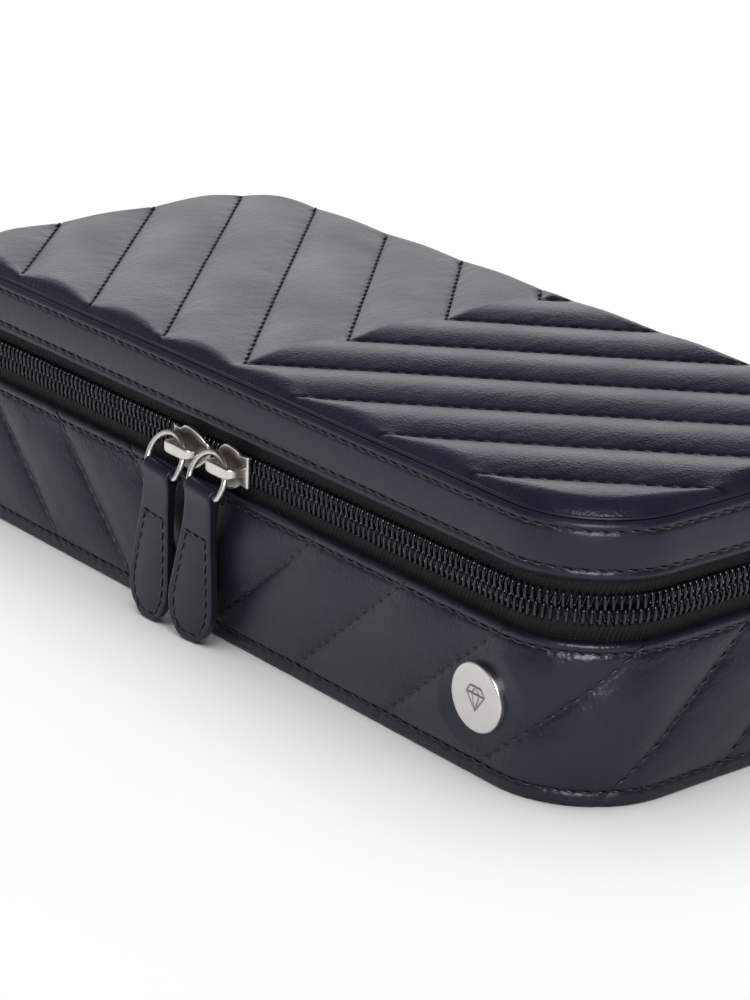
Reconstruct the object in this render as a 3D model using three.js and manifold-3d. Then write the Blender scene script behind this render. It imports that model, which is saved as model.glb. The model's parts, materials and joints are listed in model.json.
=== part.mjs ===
// Zip-around leather jewellery case: a quilted base and a padded lid joined by a leather hinge strip
// along the back, a coil zip with two sliders round the other sides, and two lift-out inserts inside.
// Millimetres, +Z up, +X to the right seen from the front. The origin is the centre of the underside.
import * as THREE from 'three';
import { mergeVertices } from 'three/addons/utils/BufferGeometryUtils.js';
import Module from 'manifold-3d';

const wasm = await Module();
wasm.setup();

// ---- Driving dimensions ----

const LENGTH = 255;
const DEPTH = 111;
const CORNER_RADIUS = 25.5;
const GAP = 0.3; // between pieces that are glued or sewn together
const CUT_MARGIN = 1; // how far a cutting shape runs past what it cuts

// heights above the underside
const BASE_BAND_TOP = 37.6;
const BASE_RIM_TOP = 38.6;
const ZIP_CENTRE = 44.95;
const LID_BAND_BOTTOM = 51.4;
const LID_BAND_TOP = 63.9;
const RIDGE_TOP = 65.2;
const PAD_TOP = 66.8;
const PAD_BEVEL = 1.6;

// the wall's layers, as distances in from the outer outline
const LEATHER = { outer: 0, inner: 2.2 };
const TAPE = { outer: 2.5, inner: 3.1 };
const BOARD = { outer: 3.4, inner: 5.6 };
const LINER = { outer: 5.9, inner: 7.5 };
const PIPING = { outer: 0.2, inner: 2.2 };

// zip
const COIL = { outer: 0.2, inner: 2.2, height: 2.4 };
const COIL_SPLIT = 0.6; // half of the clear way between the two coil halves
const ZIP_END = 92; // the zip stops this far from the centre line, on the back
const TAPE_TUCK = 8; // how far each tape reaches behind its leather band

// case floor, from the underside up
const UNDERSIDE_THICKNESS = 1.4;
const FLOOR_BOARD = { bottom: 1.7, top: 3.9 };
const LINER_BOTTOM = 4.2;
const LINER_FLOOR_TOP = 5.4;
const LINER_TOP = 48.5;

// lid, from the mirror up
const MIRROR_BOTTOM = 57.4;
const LID_LINING_TOP = 60.2;
const LID_LINING_CEILING = 59.2;
const LID_BOARD_TOP = 62.3;
const LID_BOARD_CEILING = 60.5;
const LID_RIM = { bottom: 51.0, top: 51.8 };
const LID_WALL_BOTTOM = 52.1;
const MIRROR = { length: 176, depth: 62, radius: 8, thickness: 1.5 };
const MIRROR_FRAME_WIDTH = 4;

// hinge
const HINGE_STRIP_HALF = 81;
const ZIP_TAB = { start: 84, halfHeight: 4.5, inner: 3.7, outer: 1 }; // inner and outer from the outline

// slider
const SLIDER_CENTRE = 7.65; // distance of each slider's middle from the centre line
const SLIDER = { tail: 7.8, tailHalf: 4.3, waist: -4.75, waistHalf: 3.35, dome: -0.45, domeHalf: 4.9,
  nose: 6.25 };
const SLIDER_CURVE = { flare: 1.9, shoulder: 3.6, noseHalf: 2.9 };
const PLATE_THICKNESS = 1;
const TOP_PLATE_INSET = -0.1; // its inner face, from the outer outline
const BOTTOM_PLATE_INSET = 3.4;
const WEB = { start: -2, end: 2.5, height: 0.6 };
const BRIDGE = { tailPost: 5, nosePost: 3.6, rise: 4.6, thickness: 1.1, width: 2.2 };
const BRIDGE_ROUND = { outer: 1.2, inner: 0.4 };

// ring and pull tab
const WIRE_RADIUS = 0.72;
const RING = { radius: 6.2, height: 9.6, cornerRadius: 1, buttGap: 0.4, top: 47.05 };
const RING_TILT = 22; // outward, over the leather band
const RING_SWING = 4.5; // to the left, as the rings come to rest on their posts
const RING_STEPS = 44;
const RING_TOP_CLEARANCE = 0.25; // between the wire's top and the slider's plate
const PULL = { topHalf: 5, waistHalf: 5.5, wideHalf: 7.7, length: 37 };
const PULL_DROP = { top: 3, foldEnd: 5, waist: 12, wide: 28 }; // below the ring's bar
const PULL_END_ROUND = 3.6;
const PULL_FOLD_RADIUS = 2.15;
const PULL_BORE_RADIUS = 0.95;
const PULL_THICKNESS = 2.6;

// badge
const BADGE = { x: 97, z: 19.2, radius: 8, thickness: 1.6, washerRadius: 4.8, washerThickness: 0.6 };

// inserts
const INSERT_GAP = 0.6; // between an insert and the liner
const INSERT_WALL = 1.8;
const INSERT_FLOOR = 1.6;
const INSERT_TOP = 33;
const INSERT_SPLIT = -14; // where the ring insert meets the compartment insert
const ROLL_COUNT = 6;
const ROLL = { radius: 6.9, rise: 21, endGap: 1.2, squareDrop: 7, shoulder: 1.5, crown: 3.4 };
const DIVIDER_THICKNESS = 1.8;
const DIVIDER_TOP = 31;
const LONG_DIVIDER_Y = 9;
const FRONT_DIVIDERS = [30, 74];
const BACK_DIVIDER = 52;

// how finely curves are cut
const CORNER_SEGMENTS = 4;
const ROUND_SIDES = 12;

// ---- Colours and finishes ----

const FINISHES = {
  leather: { color: '#3a3a44', roughness: 0.45, metalness: 0 },
  tape: { color: '#141418', roughness: 0.9, metalness: 0 },
  coil: { color: '#1b1b20', roughness: 0.3, metalness: 0 },
  nickel: { color: '#beb4ac', roughness: 0.35, metalness: 1 },
  board: { color: '#8c7f6c', roughness: 0.9, metalness: 0 },
  suede: { color: '#8d857d', roughness: 0.95, metalness: 0 },
  glass: { color: '#dfe6ea', roughness: 0.03, metalness: 1 },
};

function material(name) {
  return new THREE.MeshStandardMaterial(FINISHES[name]);
}

// ---- Joining and cutting ----

function toSolid(geometry) {
  const bare = geometry.clone();
  bare.deleteAttribute('normal');
  bare.deleteAttribute('uv');
  const merged = mergeVertices(bare, 1e-4);
  const mesh = new wasm.Mesh({
    numProp: 3,
    vertProperties: new Float32Array(merged.attributes.position.array),
    triVerts: new Uint32Array(merged.index.array),
  });
  return new wasm.Manifold(mesh);
}

function toGeometry(solid) {
  const mesh = solid.getMesh();
  const geometry = new THREE.BufferGeometry();
  geometry.setAttribute('position', new THREE.BufferAttribute(mesh.vertProperties, 3));
  geometry.setIndex(new THREE.BufferAttribute(mesh.triVerts, 1));
  geometry.computeVertexNormals();
  return geometry;
}

function subtract(body, ...cutters) {
  return toGeometry(cutters.reduce((left, cutter) => left.subtract(toSolid(cutter)), toSolid(body)));
}

function unite(body, ...others) {
  return toGeometry(others.reduce((sum, other) => sum.add(toSolid(other)), toSolid(body)));
}

function intersect(body, other) {
  return toGeometry(toSolid(body).intersect(toSolid(other)));
}

// ---- Outlines and walls ----

// a rounded rectangle in plan, centred on (x, y)
function roundedRectangle(path, halfX, halfY, radius, x = 0, y = 0) {
  const dx = halfX - radius;
  const dy = halfY - radius;
  path.moveTo(x + halfX, y - dy);
  path.lineTo(x + halfX, y + dy);
  path.absarc(x + dx, y + dy, radius, 0, Math.PI / 2, false);
  path.lineTo(x - dx, y + halfY);
  path.absarc(x - dx, y + dy, radius, Math.PI / 2, Math.PI, false);
  path.lineTo(x - halfX, y - dy);
  path.absarc(x - dx, y - dy, radius, Math.PI, 1.5 * Math.PI, false);
  path.lineTo(x + dx, y - halfY);
  path.absarc(x + dx, y - dy, radius, 1.5 * Math.PI, 2 * Math.PI, false);
  return path;
}

// the case's outline, moved in by an inset
function caseOutline(path, inset) {
  return roundedRectangle(path, LENGTH / 2 - inset, DEPTH / 2 - inset, CORNER_RADIUS - inset);
}

function raise(shape, bottom, top) {
  const options = { depth: top - bottom, bevelEnabled: false, curveSegments: CORNER_SEGMENTS };
  return new THREE.ExtrudeGeometry(shape, options).translate(0, 0, bottom);
}

// a closed wall right round the case
function ringWall(layer, bottom, top) {
  const shape = caseOutline(new THREE.Shape(), layer.outer);
  shape.holes.push(caseOutline(new THREE.Path(), layer.inner));
  return raise(shape, bottom, top);
}

function plate(inset, bottom, top) {
  return raise(caseOutline(new THREE.Shape(), inset), bottom, top);
}

// a wall along the front, both sides and the back corners, stopping at the zip's ends
function zipBand(layer, bottom, top) {
  const dx = LENGTH / 2 - CORNER_RADIUS;
  const dy = DEPTH / 2 - CORNER_RADIUS;
  const outer = CORNER_RADIUS - layer.outer;
  const inner = CORNER_RADIUS - layer.inner;
  const shape = new THREE.Shape();
  shape.moveTo(-ZIP_END, dy + outer);
  shape.lineTo(-dx, dy + outer);
  shape.absarc(-dx, dy, outer, Math.PI / 2, Math.PI, false);
  shape.lineTo(-dx - outer, -dy);
  shape.absarc(-dx, -dy, outer, Math.PI, 1.5 * Math.PI, false);
  shape.lineTo(dx, -dy - outer);
  shape.absarc(dx, -dy, outer, 1.5 * Math.PI, 2 * Math.PI, false);
  shape.lineTo(dx + outer, dy);
  shape.absarc(dx, dy, outer, 0, Math.PI / 2, false);
  shape.lineTo(ZIP_END, dy + outer);
  shape.lineTo(ZIP_END, dy + inner);
  shape.lineTo(dx, dy + inner);
  shape.absarc(dx, dy, inner, Math.PI / 2, 0, true);
  shape.lineTo(dx + inner, -dy);
  shape.absarc(dx, -dy, inner, 2 * Math.PI, 1.5 * Math.PI, true);
  shape.lineTo(-dx, -dy - inner);
  shape.absarc(-dx, -dy, inner, 1.5 * Math.PI, Math.PI, true);
  shape.lineTo(-dx - inner, dy);
  shape.absarc(-dx, dy, inner, Math.PI, Math.PI / 2, true);
  return raise(shape, bottom, top);
}

// a block between two corners
function block(x0, x1, y0, y1, z0, z1) {
  const box = new THREE.BoxGeometry(x1 - x0, y1 - y0, z1 - z0);
  return box.translate((x0 + x1) / 2, (y0 + y1) / 2, (z0 + z1) / 2);
}

// ---- The object as a tree of named pieces ----

const jewelleryCase = new THREE.Group();

function group(x = 0, y = 0, z = 0) {
  const made = new THREE.Group();
  made.position.set(x, y, z);
  return made;
}

function add(parent, name, geometry, finish) {
  const mesh = new THREE.Mesh(geometry, material(finish));
  mesh.name = name;
  parent.add(mesh);
  return mesh;
}

// ---- Base ----

function addBase() {
  const base = group();
  const liner = subtract(
    plate(LINER.outer, LINER_BOTTOM, LINER_TOP),
    plate(LINER.inner, LINER_FLOOR_TOP, LINER_TOP + CUT_MARGIN),
  );
  add(base, 'base_underside_cover', plate(TAPE.outer, 0, UNDERSIDE_THICKNESS), 'leather');
  add(base, 'base_side_cover', ringWall(LEATHER, 0, BASE_BAND_TOP), 'leather');
  add(base, 'base_floor_board', plate(TAPE.outer, FLOOR_BOARD.bottom, FLOOR_BOARD.top), 'board');
  add(base, 'base_wall_board', ringWall(BOARD, LINER_BOTTOM, BASE_BAND_TOP - GAP), 'board');
  add(base, 'base_inner_rim', ringWall(BOARD, BASE_BAND_TOP, BASE_RIM_TOP), 'leather');
  add(base, 'base_liner', liner, 'suede');
  return base;
}

// the two tapes and the two coil halves, mirrored about the zip's centre height
function addZip(base, lid) {
  const baseEdge = ZIP_CENTRE - COIL_SPLIT;
  const lidEdge = ZIP_CENTRE + COIL_SPLIT;
  add(base, 'zip_tape_base', zipBand(TAPE, BASE_BAND_TOP - TAPE_TUCK, baseEdge), 'tape');
  add(base, 'zip_coil_base', zipBand(COIL, baseEdge - COIL.height, baseEdge), 'coil');
  add(lid, 'zip_tape_lid', zipBand(TAPE, lidEdge, LID_BAND_BOTTOM + TAPE_TUCK), 'tape');
  add(lid, 'zip_coil_lid', zipBand(COIL, lidEdge, lidEdge + COIL.height), 'coil');
}

// the leather strip behind, in two halves that meet at the hinge line, and the tabs at the zip's ends
function addHinge(base, lid) {
  const inside = DEPTH / 2 - TAPE.inner;
  const outside = DEPTH / 2 - TAPE.outer;
  const half = HINGE_STRIP_HALF;
  const below = ZIP_CENTRE - GAP;
  const above = ZIP_CENTRE + GAP;
  const baseStrip = block(-half, half, inside, outside, BASE_BAND_TOP - TAPE_TUCK, below);
  const lidStrip = block(-half, half, inside, outside, above, LID_BAND_BOTTOM + TAPE_TUCK);
  add(base, 'hinge_strip_base', baseStrip, 'leather');
  add(lid, 'hinge_strip_lid', lidStrip, 'leather');
  for (const [name, side] of [['left', -1], ['right', 1]]) {
    const from = side * ZIP_TAB.start;
    const to = side * (ZIP_END - GAP);
    const tab = block(Math.min(from, to), Math.max(from, to),
      DEPTH / 2 - ZIP_TAB.inner, DEPTH / 2 - ZIP_TAB.outer,
      ZIP_CENTRE - ZIP_TAB.halfHeight, ZIP_CENTRE + ZIP_TAB.halfHeight);
    add(base, `zip_end_tab_${name}`, tab, 'leather');
  }
}

// a round badge on the front, and the washer that its prongs are bent over behind the leather
function addBadge(base) {
  const { x, z, radius, thickness, washerRadius, washerThickness } = BADGE;
  const face = new THREE.CylinderGeometry(radius, radius, thickness, 2 * ROUND_SIDES);
  const back = new THREE.CylinderGeometry(washerRadius, washerRadius, washerThickness, ROUND_SIDES);
  const disc = add(base, 'badge_disc', face, 'nickel');
  const washer = add(base, 'badge_washer', back, 'nickel');
  disc.position.set(x, -DEPTH / 2 - GAP - thickness / 2, z);
  washer.position.set(x, -DEPTH / 2 + TAPE.outer + washerThickness / 2, z);
}

// ---- Lid ----

function addLid() {
  const lid = group();
  const board = subtract(
    plate(BOARD.outer, LID_WALL_BOTTOM, LID_BOARD_TOP),
    plate(BOARD.inner, LID_WALL_BOTTOM - CUT_MARGIN, LID_BOARD_CEILING),
  );
  const lining = subtract(
    plate(LINER.outer, LID_WALL_BOTTOM, LID_LINING_TOP),
    plate(LINER.inner, LID_WALL_BOTTOM - CUT_MARGIN, LID_LINING_CEILING),
  );
  const rim = ringWall({ outer: BOARD.outer, inner: LINER.inner }, LID_RIM.bottom, LID_RIM.top);
  const piping = ringWall(PIPING, LID_BAND_TOP + GAP, RIDGE_TOP);
  add(lid, 'lid_board', board, 'board');
  add(lid, 'lid_lining', lining, 'suede');
  add(lid, 'lid_side_cover', ringWall(LEATHER, LID_BAND_BOTTOM, LID_BAND_TOP), 'leather');
  add(lid, 'lid_inner_rim', rim, 'leather');
  add(lid, 'lid_top_piping', piping, 'leather');
  add(lid, 'lid_top_pad', domedPad(), 'leather');
  addMirror(lid);
  return lid;
}

// the padded top panel, its edge rounded over all round
function domedPad() {
  const bottom = LID_BOARD_TOP + GAP;
  const shape = caseOutline(new THREE.Shape(), TAPE.outer + PAD_BEVEL);
  const pad = new THREE.ExtrudeGeometry(shape, {
    depth: PAD_TOP - bottom - PAD_BEVEL,
    bevelEnabled: true,
    bevelThickness: PAD_BEVEL,
    bevelSize: PAD_BEVEL,
    bevelSegments: 2,
    curveSegments: CORNER_SEGMENTS,
  });
  return intersect(pad.translate(0, 0, bottom), plate(0, bottom, PAD_TOP + CUT_MARGIN));
}

function addMirror(lid) {
  const ceiling = LID_LINING_CEILING - GAP;
  const { length, depth, radius, thickness } = MIRROR;
  const glass = roundedRectangle(new THREE.Shape(), length / 2, depth / 2, radius);
  const inner = [length / 2 + GAP, depth / 2 + GAP, radius + GAP];
  const outer = inner.map((size) => size + MIRROR_FRAME_WIDTH);
  const frame = roundedRectangle(new THREE.Shape(), ...outer);
  frame.holes.push(roundedRectangle(new THREE.Path(), ...inner));
  add(lid, 'mirror_glass', raise(glass, ceiling - thickness, ceiling), 'glass');
  add(lid, 'mirror_frame', raise(frame, MIRROR_BOTTOM - GAP, ceiling), 'leather');
}

// ---- Sliders, rings and pulls ----

// the face plate's outline: a square tail at -x, a waist, and a domed nose at +x
function sliderOutline() {
  const shape = new THREE.Shape();
  const { tail, tailHalf, waist, waistHalf, dome, domeHalf, nose } = SLIDER;
  const { flare, shoulder, noseHalf } = SLIDER_CURVE;
  shape.moveTo(-tail, -tailHalf);
  shape.lineTo(waist, -waistHalf);
  shape.bezierCurveTo(waist + flare, -waistHalf, dome - flare, -domeHalf, dome, -domeHalf);
  shape.bezierCurveTo(dome + shoulder, -domeHalf, nose, -noseHalf, nose, 0);
  shape.bezierCurveTo(nose, noseHalf, dome + shoulder, domeHalf, dome, domeHalf);
  shape.bezierCurveTo(dome - flare, domeHalf, waist + flare, waistHalf, waist, waistHalf);
  shape.lineTo(-tail, tailHalf);
  return shape;
}

// stands a shape drawn in X and Z, so that it fills the depths from front to back
function stand(shape, front, back) {
  const flat = new THREE.ExtrudeGeometry(shape, {
    depth: back - front,
    bevelEnabled: false,
    curveSegments: 5,
  });
  return flat.rotateX(Math.PI / 2).translate(0, back, 0);
}

// the loop that the ring hangs in, drawn in X and Y and as wide as its strap in Z
function bridgeLoop(front) {
  const { tailPost, nosePost, rise, thickness, width } = BRIDGE;
  const half = thickness / 2;
  const outline = (path, grow, depth, corner) => {
    const left = -tailPost - half * grow;
    const right = nosePost + half * grow;
    path.moveTo(left, front + PLATE_THICKNESS / 2);
    path.lineTo(left, front - depth + corner);
    path.absarc(left + corner, front - depth + corner, corner, Math.PI, 1.5 * Math.PI, false);
    path.lineTo(right - corner, front - depth);
    path.absarc(right - corner, front - depth + corner, corner, 1.5 * Math.PI, 2 * Math.PI, false);
    path.lineTo(right, front + PLATE_THICKNESS / 2);
    return path;
  };
  const solid = new THREE.ExtrudeGeometry(outline(new THREE.Shape(), 1, rise, BRIDGE_ROUND.outer), {
    depth: width,
    bevelEnabled: false,
    curveSegments: 2,
  });
  const hollow = outline(new THREE.Shape(), -1, rise - thickness, BRIDGE_ROUND.inner);
  const cut = new THREE.ExtrudeGeometry(hollow, {
    depth: width + 2 * CUT_MARGIN,
    bevelEnabled: false,
    curveSegments: 2,
  });
  solid.translate(0, 0, -width / 2);
  cut.translate(0, 0, -width / 2 - CUT_MARGIN);
  return subtract(solid, cut);
}

function sliderBody() {
  const front = -DEPTH / 2 + TOP_PLATE_INSET - PLATE_THICKNESS;
  const back = -DEPTH / 2 + BOTTOM_PLATE_INSET;
  const topPlate = stand(sliderOutline(), front, front + PLATE_THICKNESS);
  const bottomPlate = stand(sliderOutline(), back, back + PLATE_THICKNESS);
  const overlap = PLATE_THICKNESS / 2;
  const web = block(WEB.start, WEB.end, front + overlap, back + overlap, -WEB.height / 2,
    WEB.height / 2);
  return unite(topPlate, web, bottomPlate, bridgeLoop(front));
}

// a wire bent to a D, its butt ends meeting in the middle of the straight bar that the pull hangs on
function ringWire() {
  const { radius, height, cornerRadius, buttGap } = RING;
  const bar = radius - height;
  const path = new THREE.Path();
  path.moveTo(buttGap / 2, bar);
  path.lineTo(radius - cornerRadius, bar);
  path.absarc(radius - cornerRadius, bar + cornerRadius, cornerRadius, 1.5 * Math.PI, 2 * Math.PI,
    false);
  path.lineTo(radius, 0);
  path.absarc(0, 0, radius, 0, Math.PI, false);
  path.lineTo(-radius, bar + cornerRadius);
  path.absarc(-radius + cornerRadius, bar + cornerRadius, cornerRadius, Math.PI, 1.5 * Math.PI,
    false);
  path.lineTo(-buttGap / 2, bar);
  const flat = path.getSpacedPoints(RING_STEPS);
  const points = flat.map((p) => new THREE.Vector3(p.x, 0, p.y - radius));
  const wire = new THREE.Shape().absarc(0, 0, WIRE_RADIUS, 0, 2 * Math.PI, false);
  return new THREE.ExtrudeGeometry(wire, {
    steps: RING_STEPS,
    curveSegments: 4,
    extrudePath: new THREE.CatmullRomCurve3(points, false, 'centripetal'),
  });
}

// a strip of leather folded over the ring's bar and stitched to itself, with its origin on the bar
function pullTab() {
  const { topHalf, waistHalf, wideHalf, length } = PULL;
  const { top, foldEnd, waist, wide } = PULL_DROP;
  const round = PULL_END_ROUND;
  const face = new THREE.Shape();
  face.moveTo(-topHalf, PULL_FOLD_RADIUS);
  face.lineTo(-topHalf, -top);
  face.lineTo(-waistHalf, -waist);
  face.lineTo(-wideHalf, -wide);
  face.bezierCurveTo(-wideHalf, round - length, -round, -length, 0, -length);
  face.bezierCurveTo(round, -length, wideHalf, round - length, wideHalf, -wide);
  face.lineTo(waistHalf, -waist);
  face.lineTo(topHalf, -top);
  face.lineTo(topHalf, PULL_FOLD_RADIUS);
  const side = new THREE.Shape();
  const half = PULL_THICKNESS / 2;
  side.moveTo(half, -length);
  side.lineTo(half, -foldEnd);
  side.lineTo(PULL_FOLD_RADIUS, 0);
  side.absarc(0, 0, PULL_FOLD_RADIUS, 0, Math.PI, false);
  side.lineTo(-half, -foldEnd);
  side.lineTo(-half, -length);
  const width = 2 * (wideHalf + CUT_MARGIN);
  const profile = new THREE.ExtrudeGeometry(side, {
    depth: width,
    bevelEnabled: false,
    curveSegments: 4,
  });
  // the profile is drawn in X and Y, and this turns its X to Y and its Y to Z
  profile.translate(0, 0, -width / 2).rotateX(Math.PI / 2).rotateZ(Math.PI / 2);
  const reach = PULL_FOLD_RADIUS + CUT_MARGIN;
  const cutFace = stand(face, -reach, reach);
  const bore = new THREE.CylinderGeometry(PULL_BORE_RADIUS, PULL_BORE_RADIUS, width, ROUND_SIDES);
  bore.rotateZ(Math.PI / 2);
  return subtract(intersect(profile, cutFace), bore);
}

// one slider with its ring and pull: the left one faces its nose to the right, the right one to the left
function addSlider(parent, side, facing, postX) {
  const plateFront = -DEPTH / 2 + TOP_PLATE_INSET - PLATE_THICKNESS;
  const tilt = THREE.MathUtils.degToRad(RING_TILT);
  const body = add(parent, `slider_${side}_body`, sliderBody(), 'nickel');
  body.position.set(-facing * SLIDER_CENTRE, 0, ZIP_CENTRE);
  if (facing < 0) body.rotation.y = Math.PI;
  const ringTopY = plateFront - RING_TOP_CLEARANCE - WIRE_RADIUS;
  const hanging = group(postX, ringTopY, RING.top);
  hanging.rotation.y = THREE.MathUtils.degToRad(RING_SWING);
  parent.add(hanging);
  const ring = add(hanging, `pull_ring_${side}`, ringWire(), 'nickel');
  ring.rotation.x = -tilt;
  const pull = add(hanging, `pull_tab_${side}`, pullTab(), 'leather');
  pull.position.set(0, -RING.height * Math.sin(tilt), -RING.height * Math.cos(tilt));
}

// ---- Inserts ----

const insertHalfY = DEPTH / 2 - LINER.inner - INSERT_GAP;
const insertHalfX = LENGTH / 2 - LINER.inner - INSERT_GAP;
const insertRadius = CORNER_RADIUS - LINER.inner - INSERT_GAP;

// the outline of an insert that fills one end of the case, moved in by an inset
function insertOutline(end, inset) {
  const outline = plate(LINER.inner + INSERT_GAP + inset, 0, 1);
  const split = INSERT_SPLIT + end * (INSERT_GAP / 2 + inset);
  const far = end * LENGTH;
  const cut = block(Math.min(split, far), Math.max(split, far), -DEPTH, DEPTH, -CUT_MARGIN,
    1 + CUT_MARGIN);
  return intersect(outline, cut);
}

function insertShell(end) {
  const bottom = LINER_FLOOR_TOP + GAP;
  const height = INSERT_TOP - bottom;
  const outside = insertOutline(end, 0).scale(1, 1, height);
  const inside = insertOutline(end, INSERT_WALL).scale(1, 1, height);
  return subtract(outside.translate(0, 0, bottom), inside.translate(0, 0, bottom + INSERT_FLOOR));
}

// how far an insert's inner wall reaches in Y at a given X, where the case's corners come in
function insideReach(x) {
  const halfX = insertHalfX - INSERT_WALL;
  const halfY = insertHalfY - INSERT_WALL;
  const radius = insertRadius - INSERT_WALL;
  const past = Math.abs(x) - (halfX - radius);
  if (past <= 0) return halfY;
  return halfY - radius + Math.sqrt(Math.max(0, radius * radius - past * past));
}

// a foam roll: flat below and round on top, lying front to back
function ringRoll(halfLength) {
  const { radius, rise, squareDrop, shoulder, crown } = ROLL;
  const shape = new THREE.Shape();
  shape.moveTo(-radius, 0);
  shape.lineTo(radius, 0);
  shape.lineTo(radius, rise - squareDrop);
  shape.bezierCurveTo(radius, rise - shoulder, crown, rise, 0, rise);
  shape.bezierCurveTo(-crown, rise, -radius, rise - shoulder, -radius, rise - squareDrop);
  const roll = new THREE.ExtrudeGeometry(shape, {
    depth: 2 * halfLength,
    bevelEnabled: false,
    curveSegments: 5,
  });
  return roll.rotateX(Math.PI / 2).translate(0, halfLength, 0);
}

function addRingInsert() {
  const insert = group();
  add(insert, 'ring_insert_shell', insertShell(-1), 'suede');
  const floor = LINER_FLOOR_TOP + GAP + INSERT_FLOOR + GAP;
  const left = -insertHalfX + INSERT_WALL + GAP;
  const right = INSERT_SPLIT - INSERT_GAP / 2 - INSERT_WALL - GAP;
  const pitch = (right - left) / ROLL_COUNT;
  for (let i = 0; i < ROLL_COUNT; i += 1) {
    const x = left + pitch * (i + 0.5);
    const reach = insideReach(x - ROLL.radius) - ROLL.endGap;
    const roll = add(insert, `ring_roll_${i + 1}`, ringRoll(reach), 'suede');
    roll.position.set(x, 0, floor);
  }
  return insert;
}

function addCompartmentInsert() {
  const insert = group();
  add(insert, 'compartment_insert_shell', insertShell(1), 'suede');
  const floor = LINER_FLOOR_TOP + GAP + INSERT_FLOOR + GAP;
  const left = INSERT_SPLIT + INSERT_GAP / 2 + INSERT_WALL + GAP;
  const right = insertHalfX - INSERT_WALL - GAP;
  const wall = insertHalfY - INSERT_WALL - GAP;
  const half = DIVIDER_THICKNESS / 2;
  const long = block(left, right, LONG_DIVIDER_Y - half, LONG_DIVIDER_Y + half, floor, DIVIDER_TOP);
  add(insert, 'divider_long', long, 'suede');
  FRONT_DIVIDERS.forEach((x, i) => {
    const front = block(x - half, x + half, -wall, LONG_DIVIDER_Y - half - GAP, floor, DIVIDER_TOP);
    add(insert, `divider_front_${i + 1}`, front, 'suede');
  });
  const back = block(BACK_DIVIDER - half, BACK_DIVIDER + half, LONG_DIVIDER_Y + half + GAP, wall,
    floor, DIVIDER_TOP);
  add(insert, 'divider_back', back, 'suede');
  return insert;
}

// ---- Assembly ----

const base = addBase();
const lid = addLid();
addZip(base, lid);
addHinge(base, lid);
addBadge(base);
addSlider(base, 'left', 1, -SLIDER_CENTRE - BRIDGE.tailPost);
addSlider(base, 'right', -1, SLIDER_CENTRE - BRIDGE.nosePost);
jewelleryCase.add(base, lid, addRingInsert(), addCompartmentInsert());

export default jewelleryCase;
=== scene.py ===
"""Leather jewellery case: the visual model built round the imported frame. Metres, +Z up."""
import json
import math

import bpy
import numpy as np
from mathutils import Matrix, Vector


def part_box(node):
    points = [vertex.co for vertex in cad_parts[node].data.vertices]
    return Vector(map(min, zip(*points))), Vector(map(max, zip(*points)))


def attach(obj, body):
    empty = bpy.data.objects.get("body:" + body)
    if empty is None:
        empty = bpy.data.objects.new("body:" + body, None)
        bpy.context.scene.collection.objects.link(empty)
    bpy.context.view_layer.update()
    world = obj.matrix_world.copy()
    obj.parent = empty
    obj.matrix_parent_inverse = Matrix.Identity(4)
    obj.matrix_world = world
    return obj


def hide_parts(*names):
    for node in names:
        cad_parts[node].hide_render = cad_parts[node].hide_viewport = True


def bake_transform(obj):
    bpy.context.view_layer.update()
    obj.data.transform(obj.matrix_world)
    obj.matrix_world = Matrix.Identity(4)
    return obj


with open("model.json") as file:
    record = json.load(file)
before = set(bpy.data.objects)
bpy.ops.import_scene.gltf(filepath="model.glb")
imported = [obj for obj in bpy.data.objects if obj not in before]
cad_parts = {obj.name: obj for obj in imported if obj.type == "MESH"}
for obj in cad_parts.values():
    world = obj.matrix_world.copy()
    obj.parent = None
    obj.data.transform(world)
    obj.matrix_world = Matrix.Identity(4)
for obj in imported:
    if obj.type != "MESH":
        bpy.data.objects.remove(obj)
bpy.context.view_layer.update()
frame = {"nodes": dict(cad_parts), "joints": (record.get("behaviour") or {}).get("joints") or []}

# ---- Sizes. Everything below is in millimetres until a mesh is made ----

MM = 0.001


def box_mm(node):
    low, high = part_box(node)
    return np.array(low) / MM, np.array(high) / MM


COVER_LOW, COVER_HIGH = box_mm("base_side_cover")
BADGE_LOW, BADGE_HIGH = box_mm("badge_disc")

LENGTH = COVER_HIGH[0] - COVER_LOW[0]
DEPTH = COVER_HIGH[1] - COVER_LOW[1]
RADIUS = 25.5
ZIP_CENTRE = (box_mm("zip_coil_base")[1][2] + box_mm("zip_coil_lid")[0][2]) / 2
BASE_TOP = COVER_HIGH[2]
BAND_BOTTOM = box_mm("lid_side_cover")[0][2]
RIDGE_TOP = box_mm("lid_top_piping")[1][2]

STITCH_PITCH = 3.5
BASE_ROWS = (3.4, 35.2)
LID_ROWS = (53.8, 62.5)

# the quilting: seams run out from the middle of the front as chevrons
SIDE_PITCH = 32.0
SIDE_APEX = 2.6
SIDE_RUN = (1.0, 1.13)  # how far a seam runs along for each millimetre up, left and right
TOP_PITCH = 30.8
TOP_APEX = -47.0

ZIP_END_X = 92.0
TAB_GAP = 0.2
HINGE_HALF = box_mm("zip_end_tab_right")[0][0] - TAB_GAP  # the hinge leather runs from tab to tab

rng = np.random.default_rng(11)

# ---- The outline of the case ----

FRONT_HALF = LENGTH / 2 - RADIUS
SIDE = DEPTH - 2 * RADIUS
CORNER = math.pi / 2 * RADIUS
AROUND = 4 * FRONT_HALF + 2 * SIDE + 4 * CORNER


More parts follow.
